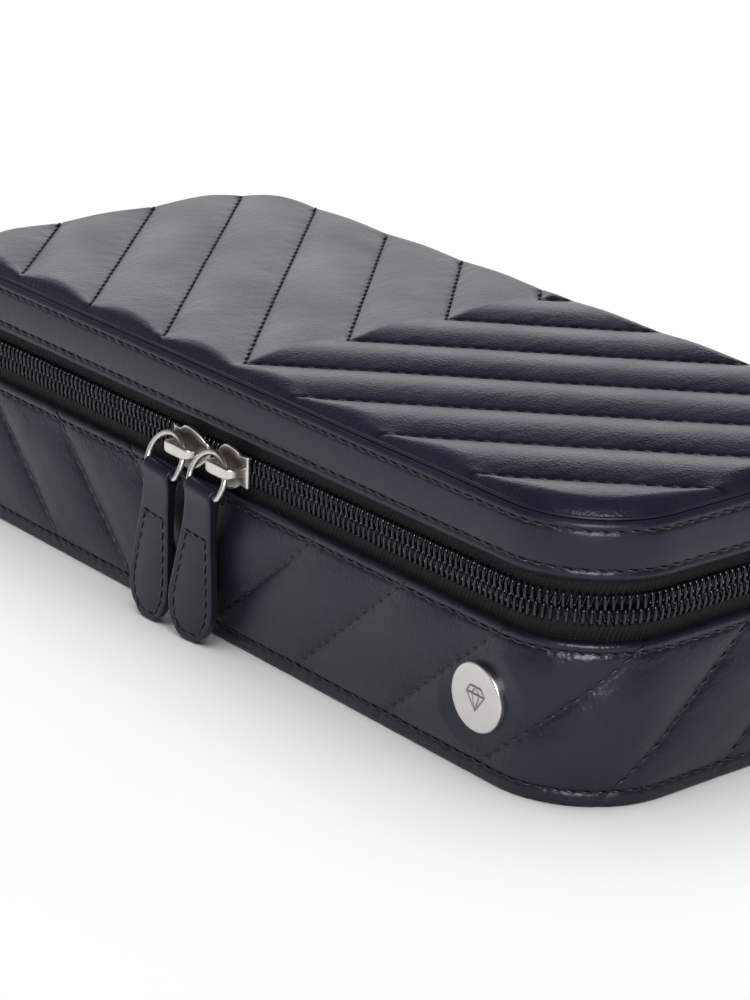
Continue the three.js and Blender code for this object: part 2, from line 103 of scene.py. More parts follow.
def outline(s):
    """Points and outward normals at distances s round the outline, from the middle of the front."""
    s = np.mod(np.asarray(s, float), AROUND)
    x0, y0 = FRONT_HALF, SIDE / 2
    runs = [
        ("line", FRONT_HALF, (0, -DEPTH / 2), 0),
        ("arc", CORNER, (x0, -y0), -90),
        ("line", SIDE, (LENGTH / 2, -y0), 90),
        ("arc", CORNER, (x0, y0), 0),
        ("line", 2 * FRONT_HALF, (x0, DEPTH / 2), 180),
        ("arc", CORNER, (-x0, y0), 90),
        ("line", SIDE, (-LENGTH / 2, y0), 270),
        ("arc", CORNER, (-x0, -y0), 180),
        ("line", FRONT_HALF, (-x0, -DEPTH / 2), 0),
    ]
    point = np.zeros(s.shape + (2,))
    normal = np.zeros(s.shape + (2,))
    start = 0.0
    for kind, length, at, degrees in runs:
        here = (s >= start) & (s <= start + length)
        along = s[here] - start
        if kind == "line":
            turn = math.radians(degrees)
            way = np.array([math.cos(turn), math.sin(turn)])
            point[here] = np.array(at) + along[:, None] * way
            normal[here] = (way[1], -way[0])
        else:
            turn = math.radians(degrees) + along / RADIUS
            out = np.stack([np.cos(turn), np.sin(turn)], -1)
            point[here] = np.array(at) + RADIUS * out
            normal[here] = out
        start += length
    return point, normal


def wall_points(s, out, z):
    """Points on a wall, from arrays of one shape: s round the outline, out from it, z up."""
    point, normal = outline(s)
    flat = point + normal * np.asarray(out)[..., None]
    return np.concatenate([flat, np.asarray(z)[..., None]], -1)


def signed_s(s):
    """s as a distance to the right (+) or to the left (-) of the middle of the front."""
    return np.mod(s + AROUND / 2, AROUND) - AROUND / 2


# ---- Shapes in numbers ----

def pillow(distance, reach, power):
    """0 on a seam, rising to 1 at reach from it, as stuffed leather does."""
    return 1 - (1 - np.clip(distance / reach, 0, 1)) ** power


def squared(wave, power):
    """A sine or cosine made squarer, for sections between a circle and a rectangle."""
    return np.sign(wave) * np.abs(wave) ** power


def unit(ways):
    return ways / np.linalg.norm(ways, axis=-1, keepdims=True)


def around(count):
    """Angles evenly round a circle."""
    return np.linspace(0, 2 * math.pi, count, endpoint=False)


def distances_along(path):
    return np.concatenate([[0], np.cumsum(np.linalg.norm(np.diff(path, axis=0), axis=1))])


def evenly(path, count, endpoint=True):
    """The same line with its points an even distance apart, and the share of it before each."""
    gaps = distances_along(path)
    at = np.linspace(0, gaps[-1], count, endpoint=endpoint)
    return np.stack([np.interp(at, gaps, column) for column in path.T], -1), at / gaps[-1]


RIPPLES = rng.uniform(-1, 1, (14, 2)), rng.uniform(0, 2 * math.pi, 14)


def ripple(a, b, wavelength):
    """A smooth, irregular field of about unit size."""
    ways, phases = RIPPLES
    total = 0
    for (wa, wb), phase in zip(ways, phases):
        total = total + np.sin(2 * math.pi / wavelength * (wa * a + wb * b) + phase)
    return total / math.sqrt(len(phases) / 2) / 1.6


def side_seam(s, z):
    """Distance to the nearest diagonal seam of the base, and the distance along that seam."""
    across = signed_s(s)
    run = np.where(across < 0, SIDE_RUN[0], SIDE_RUN[1])
    at = np.abs(across) - (z - SIDE_APEX) * run
    off = at / SIDE_PITCH - np.round(at / SIDE_PITCH)
    slant = np.sqrt(1 + run ** 2)
    return np.abs(off) * SIDE_PITCH / slant, z * slant


def between_rows(z, rows):
    """How far a height lies inside a wall's two rows of stitches, less than 0 outside them."""
    return np.minimum(z - rows[0], rows[1] - z)


def stitch_wave(along):
    """1 where a stitch goes down through its hole, -1 in the middle of a stitch."""
    return np.cos(2 * math.pi * along / STITCH_PITCH)


def groove(distance, along, depth=0.34, width=0.6):
    """How far a sewn line pulls the leather in."""
    return depth * (0.72 + 0.28 * stitch_wave(along)) * np.exp(-(distance / width) ** 2)


# ---- Making meshes ----

def make_object(name, mesh, material):
    obj = bpy.data.objects.new(name, mesh)
    bpy.context.scene.collection.objects.link(obj)
    mesh.materials.append(material)
    return obj


def mesh_from(name, vertices, faces, material, uv=None):
    """A mesh object from millimetre vertices and faces that all have the same number of corners."""
    vertices = np.asarray(vertices, float).reshape(-1, 3) * MM
    faces = np.asarray(faces, np.int32)
    sides = faces.shape[1]
    mesh = bpy.data.meshes.new(name)
    mesh.vertices.add(len(vertices))
    mesh.vertices.foreach_set("co", vertices.ravel())
    mesh.loops.add(faces.size)
    mesh.loops.foreach_set("vertex_index", faces.ravel())
    mesh.polygons.add(len(faces))
    mesh.polygons.foreach_set("loop_start", np.arange(0, faces.size, sides, dtype=np.int32))
    mesh.polygons.foreach_set("use_smooth", np.full(len(faces), True))
    mesh.update(calc_edges=True)
    mesh.validate()
    if uv is not None:
        layer = mesh.uv_layers.new(name="cloth")
        flat = np.asarray(uv, float).reshape(-1, 2)[faces.ravel()]
        layer.data.foreach_set("uv", flat.ravel())
    return make_object(name, mesh, material)


def grid_faces(rows, columns, close_rows=False, close_columns=False, first=0):
    r = np.arange(rows if close_rows else rows - 1)
    c = np.arange(columns if close_columns else columns - 1)
    r, c = np.meshgrid(r, c, indexing="ij")
    r1, c1 = (r + 1) % rows, (c + 1) % columns
    quad = np.stack([r * columns + c, r1 * columns + c, r1 * columns + c1, r * columns + c1], -1)
    return quad.reshape(-1, 4) + first


def grid_object(name, points, material, close_rows=False, close_columns=False, uv=None):
    rows, columns = points.shape[:2]
    faces = grid_faces(rows, columns, close_rows, close_columns)
    return mesh_from(name, points, faces, material, uv=uv)


def add_vertex_value(obj, name, values):
    layer = obj.data.attributes.new(name, "FLOAT", "POINT")
    layer.data.foreach_set("value", np.asarray(values, np.float32).ravel())


def arc(centre, radius, start, end, steps):
    turn = np.radians(np.linspace(start, end, steps))
    return [(centre[0] + radius * math.cos(t), centre[1] + radius * math.sin(t)) for t in turn]


FINE_STEP = 0.3
FINE_REACH = 1.2


def spaced(start, end, step, fine):
    """Values from start to end, closer together near the fine ones."""
    values = list(np.linspace(start, end, int(round((end - start) / step)) + 1))
    for middle in fine:
        values += list(np.arange(middle - FINE_REACH, middle + FINE_REACH + 1e-6, FINE_STEP))
    values = np.array(sorted(v for v in values if start <= v <= end))
    keep = np.concatenate([[True], np.diff(values) > FINE_STEP * 0.4])
    return values[keep]


def sides_along(points, closed=False):
    """Two unit sides at each point of a line, which turn with it as little as they can."""
    if closed:
        tangent = np.roll(points, -1, 0) - np.roll(points, 1, 0)
    else:
        tangent = np.gradient(points, axis=0)
    tangent = unit(tangent)
    side = np.zeros_like(points)
    side[0] = unit(np.cross(tangent[0], (0.1, 0.2, 1.0)))
    for i in range(1, len(points)):
        side[i] = unit(side[i - 1] - tangent[i] * np.dot(side[i - 1], tangent[i]))
    return side, np.cross(tangent, side)


def tube(name, points, radius, material, sides, closed=False):
    a, b = sides_along(points, closed)
    turn = around(sides)
    ring = np.cos(turn)[None, :, None] * a[:, None] + np.sin(turn)[None, :, None] * b[:, None]
    return grid_object(name, points[:, None] + ring * radius, material, closed, True)


# ---- Stitches ----

STITCH_STATIONS = 7
STITCH_SIDES = 6


def stitch_shapes(at, along, up, length=2.8, half_width=0.25, rise=0.2, sink=0.3, slant=0.2):
    """One stitch at each place: a short thread that dips into the leather at both ends."""
    at, along, up = (np.asarray(v, float).reshape(-1, 3) for v in (at, along, up))
    along = unit(along)
    up = unit(up - along * np.sum(up * along, 1)[:, None])
    across = np.cross(along, up)
    t = np.linspace(-1, 1, STITCH_STATIONS)
    height = rise - (rise + sink) * np.abs(t) ** 3.0
    thick = half_width * (1 - 0.45 * np.abs(t) ** 4)
    turn = around(STITCH_SIDES)
    spine = (at[:, None] + along[:, None] * (t * length / 2)[None, :, None]
             + up[:, None] * height[None, :, None])
    # each stitch lies a little across its line, as a lockstitch does
    spine = spine + across[:, None] * (slant * np.sin(t * math.pi / 2))[None, :, None]
    ring = (across[:, None, None] * (np.cos(turn)[None, None, :, None] * thick[None, :, None, None])
            + up[:, None, None] * (np.sin(turn)[None, None, :, None] * thick[None, :, None, None] * 0.8))
    vertices = (spine[:, :, None] + ring).reshape(-1, 3)
    one = grid_faces(STITCH_STATIONS, STITCH_SIDES, False, True)
    per = STITCH_STATIONS * STITCH_SIDES
    faces = (one[None] + (np.arange(len(at)) * per)[:, None, None]).reshape(-1, 4)
    return vertices, faces


def stitch_object(name, seams, material, **shape):
    """Joins seams, each a tuple of places, directions and normals, into one object."""
    vertices, faces, count = [], [], 0
    for at, along, up in seams:
        if len(at) == 0:
            continue
        v, f = stitch_shapes(at, along, up, **shape)
        vertices.append(v)
        faces.append(f + count)
        count += len(v)
    obj = mesh_from(name, np.concatenate(vertices), np.concatenate(faces), material)
    station = np.repeat(np.abs(np.linspace(-1, 1, STITCH_STATIONS)), STITCH_SIDES)
    # how near each ring lies to a stitch's end: the mask for the thread's painted shade
    add_vertex_value(obj, "stitch_end_shade", np.tile(station, len(obj.data.vertices) // len(station)))
    return obj


def steps_along(start, end):
    """Stitch middles from start to end, half a pitch off the holes."""
    first = math.ceil((start - STITCH_PITCH / 2) / STITCH_PITCH) * STITCH_PITCH + STITCH_PITCH / 2
    return np.arange(first, end, STITCH_PITCH)


LOOK_AHEAD = 0.4  # between the two points that give a stitch its direction


def wall_stitches(path, surface, start, end):
    """Stitches along a wall's seam: path gives its (s, z), and surface how far out that lies."""
    along = steps_along(start, end)
    places = []
    for shift in (-LOOK_AHEAD, 0.0, LOOK_AHEAD):
        s, z = path(along + shift)
        places.append(wall_points(s, surface(s, z), z))
    s, z = path(along)
    _, normal = outline(s)
    up = np.concatenate([normal, np.zeros((len(s), 1))], -1)
    return places[1], places[2] - places[0], up


def row_stitches(rows, surface):
    return [wall_stitches(lambda a, z=z: (a, np.full_like(a, z)), surface, 0, AROUND) for z in rows]


# ---- Materials ----

def new_material(name):
    """A new material, with its node tree, its shader and the object's own coordinates."""
    material = bpy.data.materials.new(name)
    material.use_nodes = True
    tree = material.node_tree
    tree.nodes.clear()
    output = tree.nodes.new("ShaderNodeOutputMaterial")
    shader = tree.nodes.new("ShaderNodeBsdfPrincipled")
    tree.links.new(shader.outputs[0], output.inputs[0])
    return material, tree, shader, tree.nodes.new("ShaderNodeTexCoord").outputs["Object"]


def is_socket(value):
    return isinstance(value, bpy.types.NodeSocket)


def set_inputs(tree, target, inputs):
    """Links or sets a node's inputs."""
    for key, value in inputs.items():
        if is_socket(value):
            tree.links.new(value, target.inputs[key])
        else:
            target.inputs[key].default_value = value


def node(tree, kind, inputs, **settings):
    made = tree.nodes.new(kind)
    for key, value in settings.items():
        setattr(made, key, value)
    set_inputs(tree, made, inputs)
    return made


def ramp(tree, source, low, high, low_value, high_value):
    return node(tree, "ShaderNodeMapRange", {
        "Value": source, "From Min": low, "From Max": high,
        "To Min": low_value, "To Max": high_value}).outputs[0]


def mix_colour(tree, amount, a, b):
    a, b = (value if is_socket(value) else (*value, 1) for value in (a, b))
    return node(tree, "ShaderNodeMix", {0: amount, 6: a, 7: b}, data_type="RGBA").outputs[2]


def math_node(tree, operation, a, b):
    return node(tree, "ShaderNodeMath", {0: a, 1: b}, operation=operation).outputs[0]


def weighted(tree, *terms):
    """The sum of values, each times its weight."""
    total = None
    for value, weight in terms:
        part = value if weight == 1 else math_node(tree, "MULTIPLY", value, weight)
        total = part if total is None else math_node(tree, "ADD", total, part)
    return total


def noise(tree, point, scale, detail=2, rough=0.5):
    return node(tree, "ShaderNodeTexNoise",
                {"Vector": point, "Scale": scale, "Detail": detail, "Roughness": rough}).outputs[0]


def cells(tree, point, scale, smoothness):
    return node(tree, "ShaderNodeTexVoronoi", {"Vector": point, "Scale": scale, "Smoothness": smoothness},
                feature="SMOOTH_F1").outputs[0]


def carried(tree, name):
    """A value that the mesh carries at its vertices."""
    return node(tree, "ShaderNodeAttribute", {}, attribute_name=name).outputs["Fac"]


def bump(tree, height, strength, distance):
    return node(tree, "ShaderNodeBump",
                {"Height": height, "Strength": strength, "Distance": distance}).outputs[0]


def leather(name, dark, light, roughness, grain=1.0, seams=False):
    """Fine calf leather: pebbled grain, faint creases, a little variation in tone and gloss."""
    material, tree, shader, point = new_material(name)
    cloud = noise(tree, point, 45, 4)
    pebble = cells(tree, point, 1500, 0.6)
    fine = noise(tree, point, 2600, 3)
    crease = noise(tree, point, 260, 6, 0.65)
    colour = mix_colour(tree, ramp(tree, cloud, 0.35, 0.65, 0, 1), dark, light)
    shade = ramp(tree, pebble, 0.1, 0.75, 0, 0.22)
    colour = mix_colour(tree, shade, colour, tuple(0.4 * c for c in dark))
    rough = ramp(tree, cloud, 0.3, 0.7, roughness - 0.04, roughness + 0.05)
    height = weighted(tree, (pebble, 0.55), (fine, 0.3), (crease, 0.9))
    if seams:
        # painted shade: the leather is darkened in its seam grooves; it also puckers into small folds beside
        # them
        near = weighted(tree, (carried(tree, "seam"), 0.6))
        colour = mix_colour(tree, near, colour, tuple(0.2 * c for c in dark))
        pucker = carried(tree, "pucker")
        rough = weighted(tree, (rough, 1), (pucker, -0.03))
        folds = math_node(tree, "MULTIPLY", cells(tree, point, 900, 0.5), pucker)
        height = weighted(tree, (height, 1), (folds, 1.4))
    set_inputs(tree, shader, {
        "Base Color": colour, "Roughness": rough, "Specular IOR Level": 0.45,
        "Specular Tint": (*INK_GLOSS, 1), "Normal": bump(tree, height, 0.32 * grain, 0.00016)})
    return material


def thread(name, dark, light):
    """Waxed thread, its tone varied along its twist, with painted shade towards each stitch's ends, where it
    goes down its holes.
    """
    material, tree, shader, point = new_material(name)
    twist = noise(tree, point, 3200)
    tone = mix_colour(tree, ramp(tree, twist, 0.3, 0.7, 0, 1), dark, light)
    # painted shade: each stitch darkens towards its ends, where it goes down into its hole
    tone = mix_colour(tree, ramp(tree, carried(tree, "stitch_end_shade"), 0.45, 0.95, 0, 1), tone, (0.001, 0.001, 0.002))
    set_inputs(tree, shader, {
        "Base Color": tone, "Roughness": 0.34, "Normal": bump(tree, twist, 0.5, 0.0001)})
    return material


def twill(name):
    """Black woven zip tape: fine slanting ribs crossed by a finer weft."""
    material, tree, shader, point = new_material(name)
    place = node(tree, "ShaderNodeUVMap", {}, uv_map="cloth").outputs[0]
    slanting = node(tree, "ShaderNodeMapping",
                    {"Vector": place, "Rotation": (0, 0, math.radians(24))}).outputs[0]
    ribs = node(tree, "ShaderNodeTexWave", {
        "Vector": slanting, "Scale": 280.0, "Distortion": 1.0, "Detail": 1, "Detail Scale": 2},
        bands_direction="X").outputs[1]
    weft = node(tree, "ShaderNodeTexWave", {"Vector": place, "Scale": 480.0, "Distortion": 0.6},
                bands_direction="Y").outputs[1]
    height = weighted(tree, (ribs, 0.8), (weft, 0.3), (noise(tree, point, 2500), 0.4))
    # painted light and painted shade: the tone follows the weave's height, lighter on the raised ribs and
    # darker in the low places
    tone = mix_colour(tree, ramp(tree, height, 0.2, 1.3, 0, 1), (0.0025, 0.0025, 0.0035),
                      (0.012, 0.012, 0.016))
    set_inputs(tree, shader, {
        "Base Color": tone, "Roughness": 0.72, "Specular IOR Level": 0.25, "Sheen Weight": 0.06,
        "Normal": bump(tree, height, 0.8, 0.00018)})
    return material


def nylon(name):
    material, tree, shader, point = new_material(name)
    cloud = noise(tree, point, 700)
    set_inputs(tree, shader, {
        "Base Color": mix_colour(tree, cloud, (0.003, 0.003, 0.007), (0.007, 0.0075, 0.015)),
        "Roughness": ramp(tree, cloud, 0.3, 0.7, 0.16, 0.26), "Specular IOR Level": 0.3,
        "Specular Tint": (*INK_GLOSS, 1), "Coat Weight": 0.45, "Coat Roughness": 0.08})
    return material


def satin_nickel(name, dark, light, blotch):
    """Tumbled, satin-plated die casting: duller in its hollows, which are also given painted shade."""
    material, tree, shader, point = new_material(name)
    cloud = noise(tree, point, 320, 5)
    hollow_shade = carried(tree, "hollow_shade")
    tone = mix_colour(tree, ramp(tree, cloud, 0.35, 0.7, 0, blotch), dark, light)
    # painted shade: the slider's dish, the badge's engraved lines and the badge's side are darkened
    tone = mix_colour(tree, hollow_shade, tone, (0.13, 0.10, 0.085))
    rough = weighted(tree, (ramp(tree, cloud, 0.3, 0.75, 0.27, 0.27 + 0.13 * blotch), 1), (hollow_shade, 0.15))
    height = weighted(tree, (cloud, 0.6 * blotch), (noise(tree, point, 4200), 1))
    set_inputs(tree, shader, {
        "Base Color": tone, "Metallic": 1.0, "Roughness": rough,
        "Normal": bump(tree, height, 0.16, 0.0001)})
    return material


def suede(name, dark, light):
    material, tree, shader, point = new_material(name)
    cloud = noise(tree, point, 60, 5)
    nap = noise(tree, point, 3000, 4)
    tone = mix_colour(tree, ramp(tree, cloud, 0.35, 0.65, 0, 1), dark, light)
    tone = mix_colour(tree, ramp(tree, nap, 0.3, 0.7, 0, 0.35), tone, tuple(0.6 * c for c in dark))
    set_inputs(tree, shader, {
        "Base Color": tone, "Roughness": 0.95, "Sheen Weight": 0.35, "Sheen Roughness": 0.5,
        "Normal": bump(tree, weighted(tree, (nap, 1), (cloud, 0.8)), 0.45, 0.0002)})
    return material


def greyboard(name):
    material, tree, shader, point = new_material(name)
    pulp = noise(tree, point, 900, 6)
    set_inputs(tree, shader, {
        "Base Color": mix_colour(tree, pulp, (0.2, 0.165, 0.12), (0.36, 0.31, 0.24)),
        "Roughness": 0.9, "Normal": bump(tree, pulp, 0.3, 0.0002)})
    return material


def silvered_glass(name):
    material, tree, shader, point = new_material(name)
    cloud = noise(tree, point, 18)
    set_inputs(tree, shader, {
        "Base Color": mix_colour(tree, cloud, (0.82, 0.84, 0.84), (0.88, 0.9, 0.9)),
        "Metallic": 1.0, "Roughness": ramp(tree, cloud, 0.3, 0.7, 0.015, 0.03)})
    return material


def pale_floor(name):
    material, tree, shader, point = new_material(name)
    tone = mix_colour(tree, noise(tree, point, 3), (0.9, 0.9, 0.9), (0.92, 0.92, 0.92))
    set_inputs(tree, shader, {"Base Color": tone, "Roughness": 0.8, "Specular IOR Level": 0.1})
    return material


INK_DARK = (0.0074, 0.0076, 0.0195)
INK_LIGHT = (0.0118, 0.012, 0.027)
INK_GLOSS = (0.85, 0.87, 1.0)
calf = leather("calf_leather", INK_DARK, INK_LIGHT, 0.43)
quilted = leather("quilted_leather", INK_DARK, INK_LIGHT, 0.41, 1.3, seams=True)
grained = leather("grained_leather", INK_DARK, INK_LIGHT, 0.36, 2.3, seams=True)
sewing = thread("navy_thread", (0.01, 0.01, 0.018), (0.03, 0.03, 0.045))
tape_cloth = twill("zip_tape_twill")
coil_nylon = nylon("coil_nylon")
nickel = satin_nickel("satin_nickel", (0.62, 0.585, 0.55), (0.73, 0.70, 0.67), 1.0)
nickel_badge = satin_nickel("satin_nickel_badge", (0.64, 0.62, 0.61), (0.70, 0.685, 0.68), 0.4)
taupe = suede("taupe_suede", (0.22, 0.195, 0.175), (0.31, 0.28, 0.255))
board = greyboard("greyboard")
mirror = silvered_glass("silvered_glass")


def finish_piece(obj, body, slot_name, *nodes):
    """Rides a piece on its body and hides the CAD nodes it stands for."""
    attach(obj, body)
    if nodes:
        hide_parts(*nodes)


# ---- Base side cover ----

SIDE_PUFF = 1.9
SIDE_PUFF_REACH = 9.5
SIDE_ROW_REACH = 11.0
BADGE_PRESS = 0.35
BADGE_PRESS_REACH = 6.0


def beside_badge(s, z):
    """Falls from 1 to a fraction where the badge presses the padding flat."""
    middle = (BADGE_LOW + BADGE_HIGH) / 2
    away = np.hypot(signed_s(s) - middle[0], z - middle[2]) - (BADGE_HIGH[0] - BADGE_LOW[0]) / 2
    return BADGE_PRESS + (1 - BADGE_PRESS) * np.clip((away + 0.5) / BADGE_PRESS_REACH, 0, 1) ** 1.5


def base_out(s, z):
    """How far out of the outline the quilted side lies."""
    distance, along = side_seam(s, z)
    inside = between_rows(z, BASE_ROWS)
    puff = SIDE_PUFF * pillow(distance, SIDE_PUFF_REACH, 2.0) * pillow(inside, SIDE_ROW_REACH, 2.0)
    puff = puff * beside_badge(s, z)
    puff = puff + 0.11 * pillow(distance, 3, 2) * np.exp(-distance / 3.5) * ripple(along, distance, 5.0)
    out = np.where(inside > 0, puff, 0.22 * pillow(-inside, 1.6, 2))
    pucker = 0.07 * np.exp(-np.abs(inside) / 1.6) * ripple(s, z, 3.6)
    out = out + pucker - groove(np.abs(inside), s) - 0.85 * groove(distance, along)
    # the seam where the cover closes, in the middle of the back
    back = np.abs(np.abs(signed_s(s)) - AROUND / 2)
    return out - groove(back, z, 0.5, 0.8)


def side_seam_nearness(s, z, reach):
    near = np.minimum(side_seam(s, z)[0], np.abs(between_rows(z, BASE_ROWS)))
    return np.exp(-(near / reach) ** 2)


WALL_STEP = 0.72
EDGE_TURN = 1.1
INSIDE = -2.2  # of a wall's outline, where its turned edges end


def make_wall(name, surface, rows, low, high, step, under, over, fade_from):
    """A leather wall swept round the outline, with its turned edges: surface says how far out it lies."""
    wall = [(0.0, z) for z in spaced(low, high, step, rows)]
    out, z = np.array(under + wall + over).T
    s = np.linspace(0, AROUND, int(AROUND / WALL_STEP), endpoint=False)
    grid_s, grid_out = np.meshgrid(s, out, indexing="ij")
    grid_z = np.broadcast_to(z, grid_s.shape)
    fade = np.concatenate([np.clip(np.linspace(fade_from, 1, len(under)), 0, 1), np.ones(len(wall)),
                           np.clip(np.linspace(1, -1, len(over)), 0, 1)])
    grid_out = grid_out + surface(grid_s, np.clip(grid_z, low, high)) * fade
    obj = grid_object(name, wall_points(grid_s, grid_out, grid_z), quilted, close_rows=True)
    return obj, grid_s, grid_z


def make_base_cover():
    low, high = 1.5, BASE_TOP - EDGE_TURN
    under = [(-2.15, 0.12)] + arc((-0.8, 0.9), 0.8, -90, -8, 6)
    over = arc((-EDGE_TURN, high), EDGE_TURN, 10, 170, 9)
    over += [(INSIDE, BASE_TOP - 2.5), (INSIDE, BASE_TOP - 8)]
    obj, s, z = make_wall("base_quilted_cover", base_out, BASE_ROWS, low, high, 0.62, under, over, 0)
    # nearness to the seams: the mask for the painted shade in their grooves
    add_vertex_value(obj, "seam", side_seam_nearness(s, z, 0.7))
    add_vertex_value(obj, "pucker", side_seam_nearness(s, z, 5.0))
    finish_piece(obj, "base", "leather", "base_side_cover")


def make_base_stitches():
    seams = row_stitches(BASE_ROWS, base_out)
    for side, run in zip((-1, 1), SIDE_RUN):
        slant = math.sqrt(1 + run * run)
        for k in range(-1, int(AROUND / 2 / SIDE_PITCH) + 1):
            def path(a, k=k, side=side, run=run, slant=slant):
                z = a / slant
                return side * (k * SIDE_PITCH + (z - SIDE_APEX) * run), z
            start = max(BASE_ROWS[0], SIDE_APEX - k * SIDE_PITCH / run) + 0.8
            end = min(BASE_TOP - 0.8, SIDE_APEX + (AROUND / 2 - k * SIDE_PITCH) / run)
            if end > start:
                seams.append(wall_stitches(path, base_out, start * slant, end * slant))
    finish_piece(stitch_object("base_stitching", seams, sewing), "base", "leather")


# ---- Lid side band ----

def lid_out(s, z):
    """How far out of the outline the lid's plain band lies."""
    inside = between_rows(z, LID_ROWS)
    out = np.where(inside > 0, 0.42 * pillow(inside, 4.0, 2.0), 0.18 * pillow(-inside, 1.4, 2))
    out = out + 0.06 * np.exp(-np.abs(inside) / 1.5) * ripple(s, z, 3.6) + 0.03 * ripple(s, z, 30)
    return out - groove(np.abs(inside), s, 0.3, 0.5)


def make_lid_band():
    bottom, top, shoulder = BAND_BOTTOM, 63.4, 1.25
    under = [(INSIDE, bottom + 4), (INSIDE, bottom + 1.6)]
    under += arc((-EDGE_TURN, bottom + 1.0), 1.0, 190, 350, 9)
    over = arc((-shoulder, top), shoulder, 8, 78, 7)
    over += [(-1.3, RIDGE_TOP - 0.72), (-2.0, RIDGE_TOP - 1.0), (INSIDE, RIDGE_TOP - 2.6)]
    obj, _, z = make_wall("lid_side_band", lid_out, LID_ROWS, bottom + 0.9, top, 0.55, under, over, -1)
    # nearness to the stitch rows: the mask for the painted shade in their grooves
    add_vertex_value(obj, "seam", np.exp(-(between_rows(z, LID_ROWS) / 0.7) ** 2))
    finish_piece(obj, "lid", "leather", "lid_side_cover")


def make_lid_stitches():
    threads = stitch_object("lid_band_stitching", row_stitches(LID_ROWS, lid_out), sewing)
    finish_piece(threads, "lid", "leather")


def make_piping():
    """The turned edge of the band, which stands up as a thin line round the padded top."""
    s = np.linspace(0, AROUND, 900, endpoint=False)
    wobble = 0.04 * ripple(s, s * 0, 40)
    middle = wall_points(s, -1.75 + wobble, np.full_like(s, RIDGE_TOP - 0.4) + wobble)
    obj = tube("lid_edge_fold", middle, 0.48, calf, 12, closed=True)
    finish_piece(obj, "lid", "leather", "lid_top_piping")


# ---- Padded top ----

PAD_INSET = 2.0
PAD_EDGE_Z = 64.4
PAD_ROLL = 3.2


def edge_distance(x, y):
    """How far a point lies inside the pad's outline."""
    half_x, half_y, radius = LENGTH / 2 - PAD_INSET, DEPTH / 2 - PAD_INSET, RADIUS - PAD_INSET
    dx = np.abs(x) - (half_x - radius)
    dy = np.abs(y) - (half_y - radius)
    outside = np.hypot(np.maximum(dx, 0), np.maximum(dy, 0))
    inside = np.minimum(np.maximum(dx, dy), 0)
    return radius - outside - inside


def top_seam(x, y):
    soft = np.sqrt(x * x + 0.6 ** 2)
    at = (y - soft - TOP_APEX) / TOP_PITCH
    return np.abs(at - np.round(at)) * TOP_PITCH / math.sqrt(2), soft * math.sqrt(2)


PAD_RISE = 1.5
PAD_PUFF = 1.9
PAD_PUFF_REACH = 10.9


def top_height(x, y):
    """The height of the padded top."""
    edge = edge_distance(x, y)
    distance, along = top_seam(x, y)
    rise = pillow(edge, PAD_ROLL, 2.6)
    # the stuffing is even along the border, and parts into puffs further in
    parted = pillow(edge - 0.8, 5.0, 1.6)
    puff = 0.68 * (1 - parted) + pillow(distance, PAD_PUFF_REACH, 2.0) * parted
    puff = PAD_PUFF * puff * pillow(edge - 0.3, 4.8, 2.0)
    wrinkle = 0.065 * np.exp(-distance / 3.2) * ripple(along, distance * 0.6, 5.2)
    wrinkle = wrinkle * pillow(distance, 2.0, 2) * pillow(edge, 5, 1.5)
    sway = 0.12 * ripple(x, y, 90)
    seam = 0.95 * groove(distance, along, 0.42, 0.62) * pillow(edge - 0.6, 3, 2)
    return PAD_EDGE_Z + PAD_RISE * rise + puff + wrinkle + sway * rise - seam


def make_top_pad():
    half_x = LENGTH / 2 - PAD_INSET
    near_end = half_x * np.cos(np.linspace(0, 0.45, 20, endpoint=False)[1:])
    x = np.linspace(-half_x + 0.02, half_x - 0.02, 440)
    x = np.unique(np.concatenate([x, near_end, -near_end]))
    t = np.linspace(-1, 1, 200)
    t = np.sign(t) * (1 - (1 - np.abs(t)) ** 1.12)
    past = np.maximum(np.abs(x) - (half_x - (RADIUS - PAD_INSET)), 0)
    reach = DEPTH / 2 - RADIUS + np.sqrt(np.maximum((RADIUS - PAD_INSET) ** 2 - past ** 2, 0))
    grid_x, grid_t = np.meshgrid(x, t, indexing="ij")
    grid_y = grid_t * reach[:, None]
    grid_z = top_height(grid_x, grid_y)
    points = np.stack([grid_x, grid_y, grid_z], -1)
    obj = grid_object("lid_quilted_top", points, grained)
    distance, _ = top_seam(grid_x, grid_y)
    # nearness to the seams: the mask for the painted shade in their grooves
    add_vertex_value(obj, "seam", np.exp(-(distance / 0.9) ** 2))
    finish_piece(obj, "lid", "leather", "lid_top_pad")


def make_top_stitches():
    seams = []
    for k in range(-6, 5):
        apex = TOP_APEX + k * TOP_PITCH
        for side in (-1, 1):
            along = steps_along(0.2, LENGTH / math.sqrt(2))
            x = side * along / math.sqrt(2)
            y = apex + np.abs(x)
            inside = (np.abs(y) < DEPTH / 2) & (edge_distance(x, y) > 2.2)
            x, y = x[inside], y[inside]
            at = np.stack([x, y, top_height(x, y) + 0.06], -1)
            step = LOOK_AHEAD
            ahead = top_height(x + side * step, y + step) - top_height(x - side * step, y - step)
            way = np.stack([np.full_like(x, 2 * side * step), np.full_like(x, 2 * step), ahead], -1)
            seams.append((at, way, np.tile((0.0, 0.0, 1.0), (len(x), 1))))
    finish_piece(stitch_object("lid_top_stitching", seams, sewing), "lid", "leather")


# ---- Zip ----

ZIP_HALF = AROUND / 2 - ZIP_END_X
TAPE_REACH = 10.5
TAPE_FACE = -2.55
TAPE_THICK = 0.5


